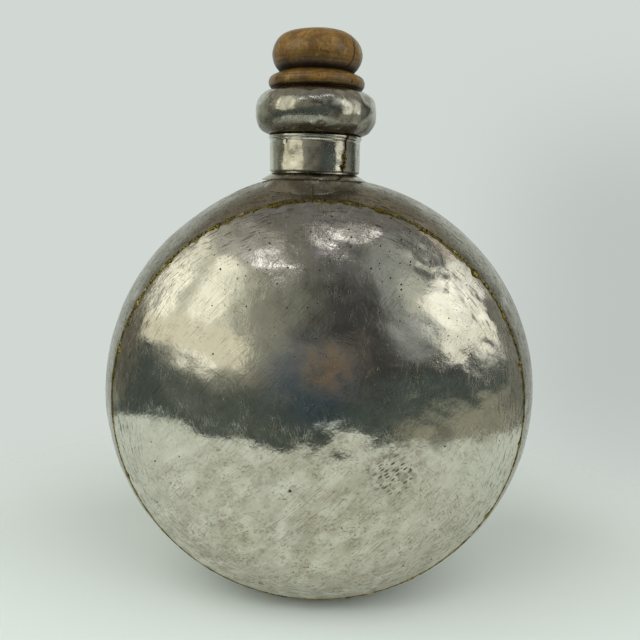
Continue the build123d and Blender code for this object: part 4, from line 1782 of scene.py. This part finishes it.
@dataclass(frozen=True)
class Studio:
    """The table, the room that the metal mirrors, two soft lamps in front, and the camera.

    Places and lengths are in metres, except the fibres' size in millimetres, and angles in
    degrees. Spans of directions are shares of a unit vector.
    """

    camera_place: Place = (0.0079, -0.4341, 0.2418)
    camera_pitch: float = 9.68
    camera_yaw: float = 1.10
    camera_roll: float = 1.68
    camera_lens: float = 41.34
    sensor_width: float = 36.0
    table_corners: tuple[Place, ...] = (
        (-0.43, -0.28, 0), (0.08, -0.4, 0), (0.25, -0.26, 0), (0.46, -0.12, 0), (0.46, 0.5, 0),
        (-0.43, 0.5, 0),
    )
    table_colour: str = "#dce3dd"
    backdrop_colour: str = "#d1d8d3"
    shaded_colour: str = "#b6bcb8"
    table_fade: Span = (0.2, 0.4)
    fibre_size: float = 0.8
    fibre_tone: Span = (0.985, 1.015)
    ripple_scale: float = 5.0
    ripple_reach: float = 0.14
    ceiling_elevation: Span = (36.0, 64.0)
    ceiling_tone: Span = (0.06, 0.22)
    behind_span: Span = (0.45, 0.75)
    behind_elevation: Span = (34.0, 24.0)
    table_elevation: Span = (-19.0, -25.0)
    shaded_right: Span = (0.1, 0.36)
    shaded_below: float = 0.12
    shaded_reach: Span = (0.34, 0.08)
    shaded_amount: float = 0.75
    lamps: tuple[tuple[Place, float], ...] = (
        ((-0.85, -0.7, 0.95), 14.6),
        ((0.8, -0.75, 0.95), 12.9),
    )
    lamp_size: float = 1.8
    lamp_colour: str = "#fafdff"
    patches: tuple[RoomPatch, ...] = (
        RoomPatch((-180, 180), (-90, 2), 8, "#525d5a", 0.95),
        RoomPatch((-34, 16), (2, 18), 14, "#928b7e", 0.8),
        RoomPatch((30, 120), (-90, -14), 14, "#a3a295", 0.8),
        RoomPatch((38, 92), (-32, -9), 6, "#a9aa9b", 0.95),
        RoomPatch((128, 232), (-90, 34), 14, "#c9d1cb", 1.0),
        RoomPatch((-128, -98), (-20, 32), 10, "#a2a89b", 0.8),
        RoomPatch((-99, -84), (-14, 30), 7, "#8b887c", 0.6),
        RoomPatch((76, 284), (34, 82), 12, "#959287", 1.0),
        RoomPatch((-60, -10), (-2, 58), 40, "#d2d4c6", 0.5),
        RoomPatch((-84, -66), (8, 48), 7, "#fdfdf0", 1.28),
        RoomPatch((-71, -37), (4, 46), 13, "#e6e8d6", 0.92),
        RoomPatch((-60, -46), (3, 45), 7, "#fffff0", 1.36),
        RoomPatch((-80, -72), (8, 34), 5, "#fffff0", 1.5),
        RoomPatch((-76, -26), (46, 57), 6, "#f0f0e8", 0.62),
        RoomPatch((30, 60), (14, 54), 20, "#dfe6e4", 0.6),
        RoomPatch((74, 94), (28, 55), 6, "#efe2d8", 0.8),
        RoomPatch((68, 84), (4, 41), 6, "#f4f6f0", 1.28),
        RoomPatch((43, 58), (24, 45), 6, "#e9ebdf", 0.85),
        RoomPatch((54, 69), (13, 37), 8, "#fdfef6", 1.55),
        RoomPatch((82, 106), (-12, 54), 8, "#b2b2a9", 0.5),
        RoomPatch((-43, -16), (47, 51), 4, "#f4f2ff", 0.7),
        RoomPatch((-6, 44), (58, 66), 6, "#f4f2ff", 0.36),
        RoomPatch((-40, -30), (48, 49.4), 1, "#ffffff", 4.5),
        RoomPatch((-27, -20), (49, 50.4), 1, "#ffffff", 4.5),
        RoomPatch((-4, 6), (65, 66.4), 1, "#ffffff", 4.5),
        RoomPatch((8, 22), (62.6, 64), 1, "#ffffff", 4.5),
        RoomPatch((26, 40), (58.6, 60), 1, "#ffffff", 4.5),
    )
    cards: tuple[Card, ...] = (
        Card("left_window_sill", -56, 0.6, 0.58, 0.236, 0.34, "#f9f6e0", 0.98),
        Card("right_window_sill", 66, 0.6, 0.28, 0.236, 0.34, "#fdfdf2", 1.2),
    )

    def camera(self) -> None:
        """Stands the camera where the photographer stood and makes it the scene's."""
        data = bpy.data.cameras.new("camera")
        data.lens = self.camera_lens
        data.sensor_width = self.sensor_width
        camera = linked("camera", data)
        camera.matrix_world = (
            Matrix.Translation(self.camera_place)
            @ Matrix.Rotation(math.radians(self.camera_yaw), 4, "Z")
            @ Matrix.Rotation(math.radians(90 - self.camera_pitch), 4, "X")
            @ Matrix.Rotation(math.radians(self.camera_roll), 4, "Z")
        )
        bpy.context.scene.camera = camera

    def room(self) -> None:
        """Draws the world: the pale backdrop, and the room that the metal mirrors in front."""
        world = bpy.data.worlds.new("studio_room")
        bpy.context.scene.world = world
        add = emptied(world)
        direction = add("TexCoord").node.outputs["Generated"]
        east = add("SeparateXYZ", {"Vector": direction})
        seen, backdrop = self.backdrop_share(add, east), self.backdrop(add, east)
        mirrored = self.mirrored(add, direction)
        shown = add("Mix", {"Factor": seen, "A": mirrored, "B": backdrop}, data_type="RGBA")
        background = add("Background", {"Color": shown, "Strength": 1.0})
        add("OutputWorld", {"Surface": background})

    def mirrored(self, add: AddNode, direction: Socket) -> Socket:
        """The dark room between two windows, with lamps overhead, that the metal mirrors.

        Args:
            add: Adds a node to the world.
            direction: Where a ray goes, as a unit vector.

        Returns:
            The room's colour: its patches laid one over the other on a dark ceiling.
        """
        ripple = add("TexNoise", {"Vector": direction, "Scale": self.ripple_scale, "Detail": 3.0})
        ripple = ripple.node.outputs["Color"]
        centred = add("VectorMath", {0: ripple, 1: (0.5, 0.5, 0.5)}, operation="SUBTRACT")
        shift = add("VectorMath", {0: centred, "Scale": self.ripple_reach}, operation="SCALE")
        bent = add("VectorMath", {0: direction, 1: shift}, operation="ADD")
        bent = add("VectorMath", {0: bent}, operation="NORMALIZE")
        east = add("SeparateXYZ", {"Vector": bent})
        north, up = east.node.outputs["Y"], east.node.outputs["Z"]
        south = add("Math", {0: north, 1: -1.0}, operation="MULTIPLY")
        azimuth = add("Math", {0: east, 1: south}, operation="ARCTAN2")
        elevation = add("Math", {0: up}, operation="ARCSINE")
        low, high = (math.radians(angle) for angle in self.ceiling_elevation)
        dark, light = self.ceiling_tone
        tones = {**between((low, high)), "To Min": dark, "To Max": light}
        colour = add("MapRange", {"Value": elevation, **tones})
        for patch in self.patches:
            share = add(
                "Math",
                {0: self.within(add, azimuth, patch.azimuth, patch.softness, True),
                 1: self.within(add, elevation, patch.elevation, patch.softness, False)},
                operation="MULTIPLY",
            )
            shown = tuple(part * patch.strength for part in linear(patch.colour)[:3]) + (1.0,)
            colour = add("Mix", {"Factor": share, "A": colour, "B": shown}, data_type="RGBA")
        return colour

    def backdrop_share(self, add: AddNode, east: Socket) -> Socket:
        """Where the backdrop shows: for camera rays everywhere, for mirrored ones behind.

        Args:
            add: Adds a node to the world.
            east: X of the direction, from a node that has its Y and Z too.

        Returns:
            1 where a ray sees the backdrop, 0 where it sees the room.
        """
        span = between(self.behind_span)
        behind = add("MapRange", {"Value": east.node.outputs["Y"], **span}, **EASED)
        span = between(sines(self.behind_elevation))
        low = add("MapRange", {"Value": east.node.outputs["Z"], **span}, **EASED)
        rays = add("LightPath").node.outputs
        mirrored = add(
            "Math", {0: rays["Is Glossy Ray"], 1: rays["Is Transmission Ray"]}, operation="MAXIMUM"
        )
        mirrored = add("Math", {0: mirrored, 1: behind}, operation="MULTIPLY")
        mirrored = add("Math", {0: mirrored, 1: low}, operation="MULTIPLY")
        return add("Math", {0: rays["Is Camera Ray"], 1: mirrored}, operation="MAXIMUM")

    def backdrop(self, add: AddNode, east: Socket) -> Socket:
        """The pale backdrop, which runs on from the table and is a little shaded on the right.

        Args:
            add: Adds a node to the world.
            east: X of the direction, from a node that has its Y and Z too.

        Returns:
            Its colour.
        """
        height = east.node.outputs["Z"]
        span = between(sines(self.table_elevation))
        table_share = add("MapRange", {"Value": height, **span}, **EASED)
        far, near = linear(self.backdrop_colour), linear(self.table_colour)
        backdrop = add("Mix", {"Factor": table_share, "A": far, "B": near}, data_type="RGBA")
        right = add("MapRange", {"Value": east, **between(self.shaded_right)}, **EASED)
        apart = add("Math", {0: height, 1: self.shaded_below}, operation="ADD")
        apart = add("Math", {0: apart}, operation="ABSOLUTE")
        span = {**between(self.shaded_reach), "To Max": self.shaded_amount}
        level = add("MapRange", {"Value": apart, **span}, **EASED)
        shaded = add("Math", {0: right, 1: level}, operation="MULTIPLY")
        darker = linear(self.shaded_colour)
        return add("Mix", {"Factor": shaded, "A": backdrop, "B": darker}, data_type="RGBA")

    def within(
        self,
        add: AddNode,
        angle: Socket,
        limits: Span,
        softness: float,
        wraps: bool,
    ) -> Socket:
        """How far an angle lies inside its limits: 1 inside, 0 outside, soft between.

        Args:
            add: Adds a node to the world.
            angle: The angle in radians.
            limits: The first and last angle, in degrees.
            softness: The soft edge's width, in degrees.
            wraps: Whether the angle goes round the full circle.

        Returns:
            The share at each direction.
        """
        middle = math.radians((limits[0] + limits[1]) / 2)
        half = math.radians((limits[1] - limits[0]) / 2)
        soft = math.radians(softness) / 2
        apart = add("Math", {0: angle, 1: middle}, operation="SUBTRACT")
        if wraps:
            apart = add("Math", {0: apart, 1: -math.pi, 2: math.pi}, operation="WRAP")
        apart = add("Math", {0: apart}, operation="ABSOLUTE")
        return add("MapRange", {"Value": apart, **between((half + soft, half - soft))}, **EASED)

    def table(self) -> None:
        """Lays the pale table. Camera rays see it fade into the backdrop beyond the flask."""
        mesh = bpy.data.meshes.new("table")
        mesh.from_pydata(self.table_corners, [], [range(len(self.table_corners))])
        material = bpy.data.materials.new("matt_paper_table")
        add = emptied(material)
        place = add("TexCoord").node.outputs["Object"]
        radius = add("VectorMath", {0: place}, operation="LENGTH").node.outputs["Value"]
        fibre = add("TexNoise", {"Vector": place, "Scale": per(self.fibre_size), "Detail": 3.0})
        dark, light = self.fibre_tone
        tone = add("MapRange", {"Value": fibre, "To Min": dark, "To Max": light})
        colour = add(
            "VectorMath", {0: linear(self.table_colour)[:3], "Scale": tone}, operation="SCALE"
        )
        paper = add("BsdfDiffuse", {"Color": colour})
        edge = add("MapRange", {"Value": radius, **between(self.table_fade)}, **EASED)
        rays = add("LightPath").node.outputs
        clear = add("Math", {0: edge, 1: rays["Is Camera Ray"]}, operation="MULTIPLY")
        faded = add("MixShader", {0: clear, 1: paper, 2: add("BsdfTransparent")})
        add("OutputMaterial", {"Surface": faded})
        mesh.materials.append(material)
        linked("table", mesh)

    def lamp(self, place: Place, power: float) -> None:
        """Hangs a wide soft lamp that the metal doesn't mirror.

        Args:
            place: Its middle in metres. It points at the origin.
            power: Its power in watts.
        """
        data = bpy.data.lights.new("softbox", "AREA")
        data.shape = "DISK"
        data.size = self.lamp_size
        data.energy = power
        data.color = linear(self.lamp_colour)[:3]
        lamp = linked("softbox", data)
        aim = Vector(place).to_track_quat("Z", "Y").to_matrix().to_4x4()
        lamp.matrix_world = Matrix.Translation(place) @ aim
        lamp.visible_glossy = lamp.visible_camera = False

    def build(self) -> None:
        """Sets up the studio."""
        bpy.context.scene.view_settings.view_transform = "Standard"
        self.camera()
        self.room()
        self.table()
        for place, power in self.lamps:
            self.lamp(place, power)
        for card in self.cards:
            card.build()


def main() -> None:
    """Builds the studio and the flask."""
    logging.basicConfig(level=logging.INFO, format="%(message)s")
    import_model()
    Studio().build()
    body = Body()
    finishes = {
        Slot.TINNED_SHEET: TinnedSheet(body=body),
        Slot.NECK_METAL: PlanishedNeck(),
        Slot.SOLDER: SoftSolder(),
        Slot.BRAZE: TarnishedBraze(),
        Slot.RIM_METAL: BrownedBrass(),
        Slot.TURNED_WOOD: TurnedHardwood(),
    }
    bench = Workbench({slot: finish.material() for slot, finish in finishes.items()})
    body.build(bench)
    Neck(body).build(bench)
    Stopper(body).build(bench)


if __name__ == "__main__":
    main()
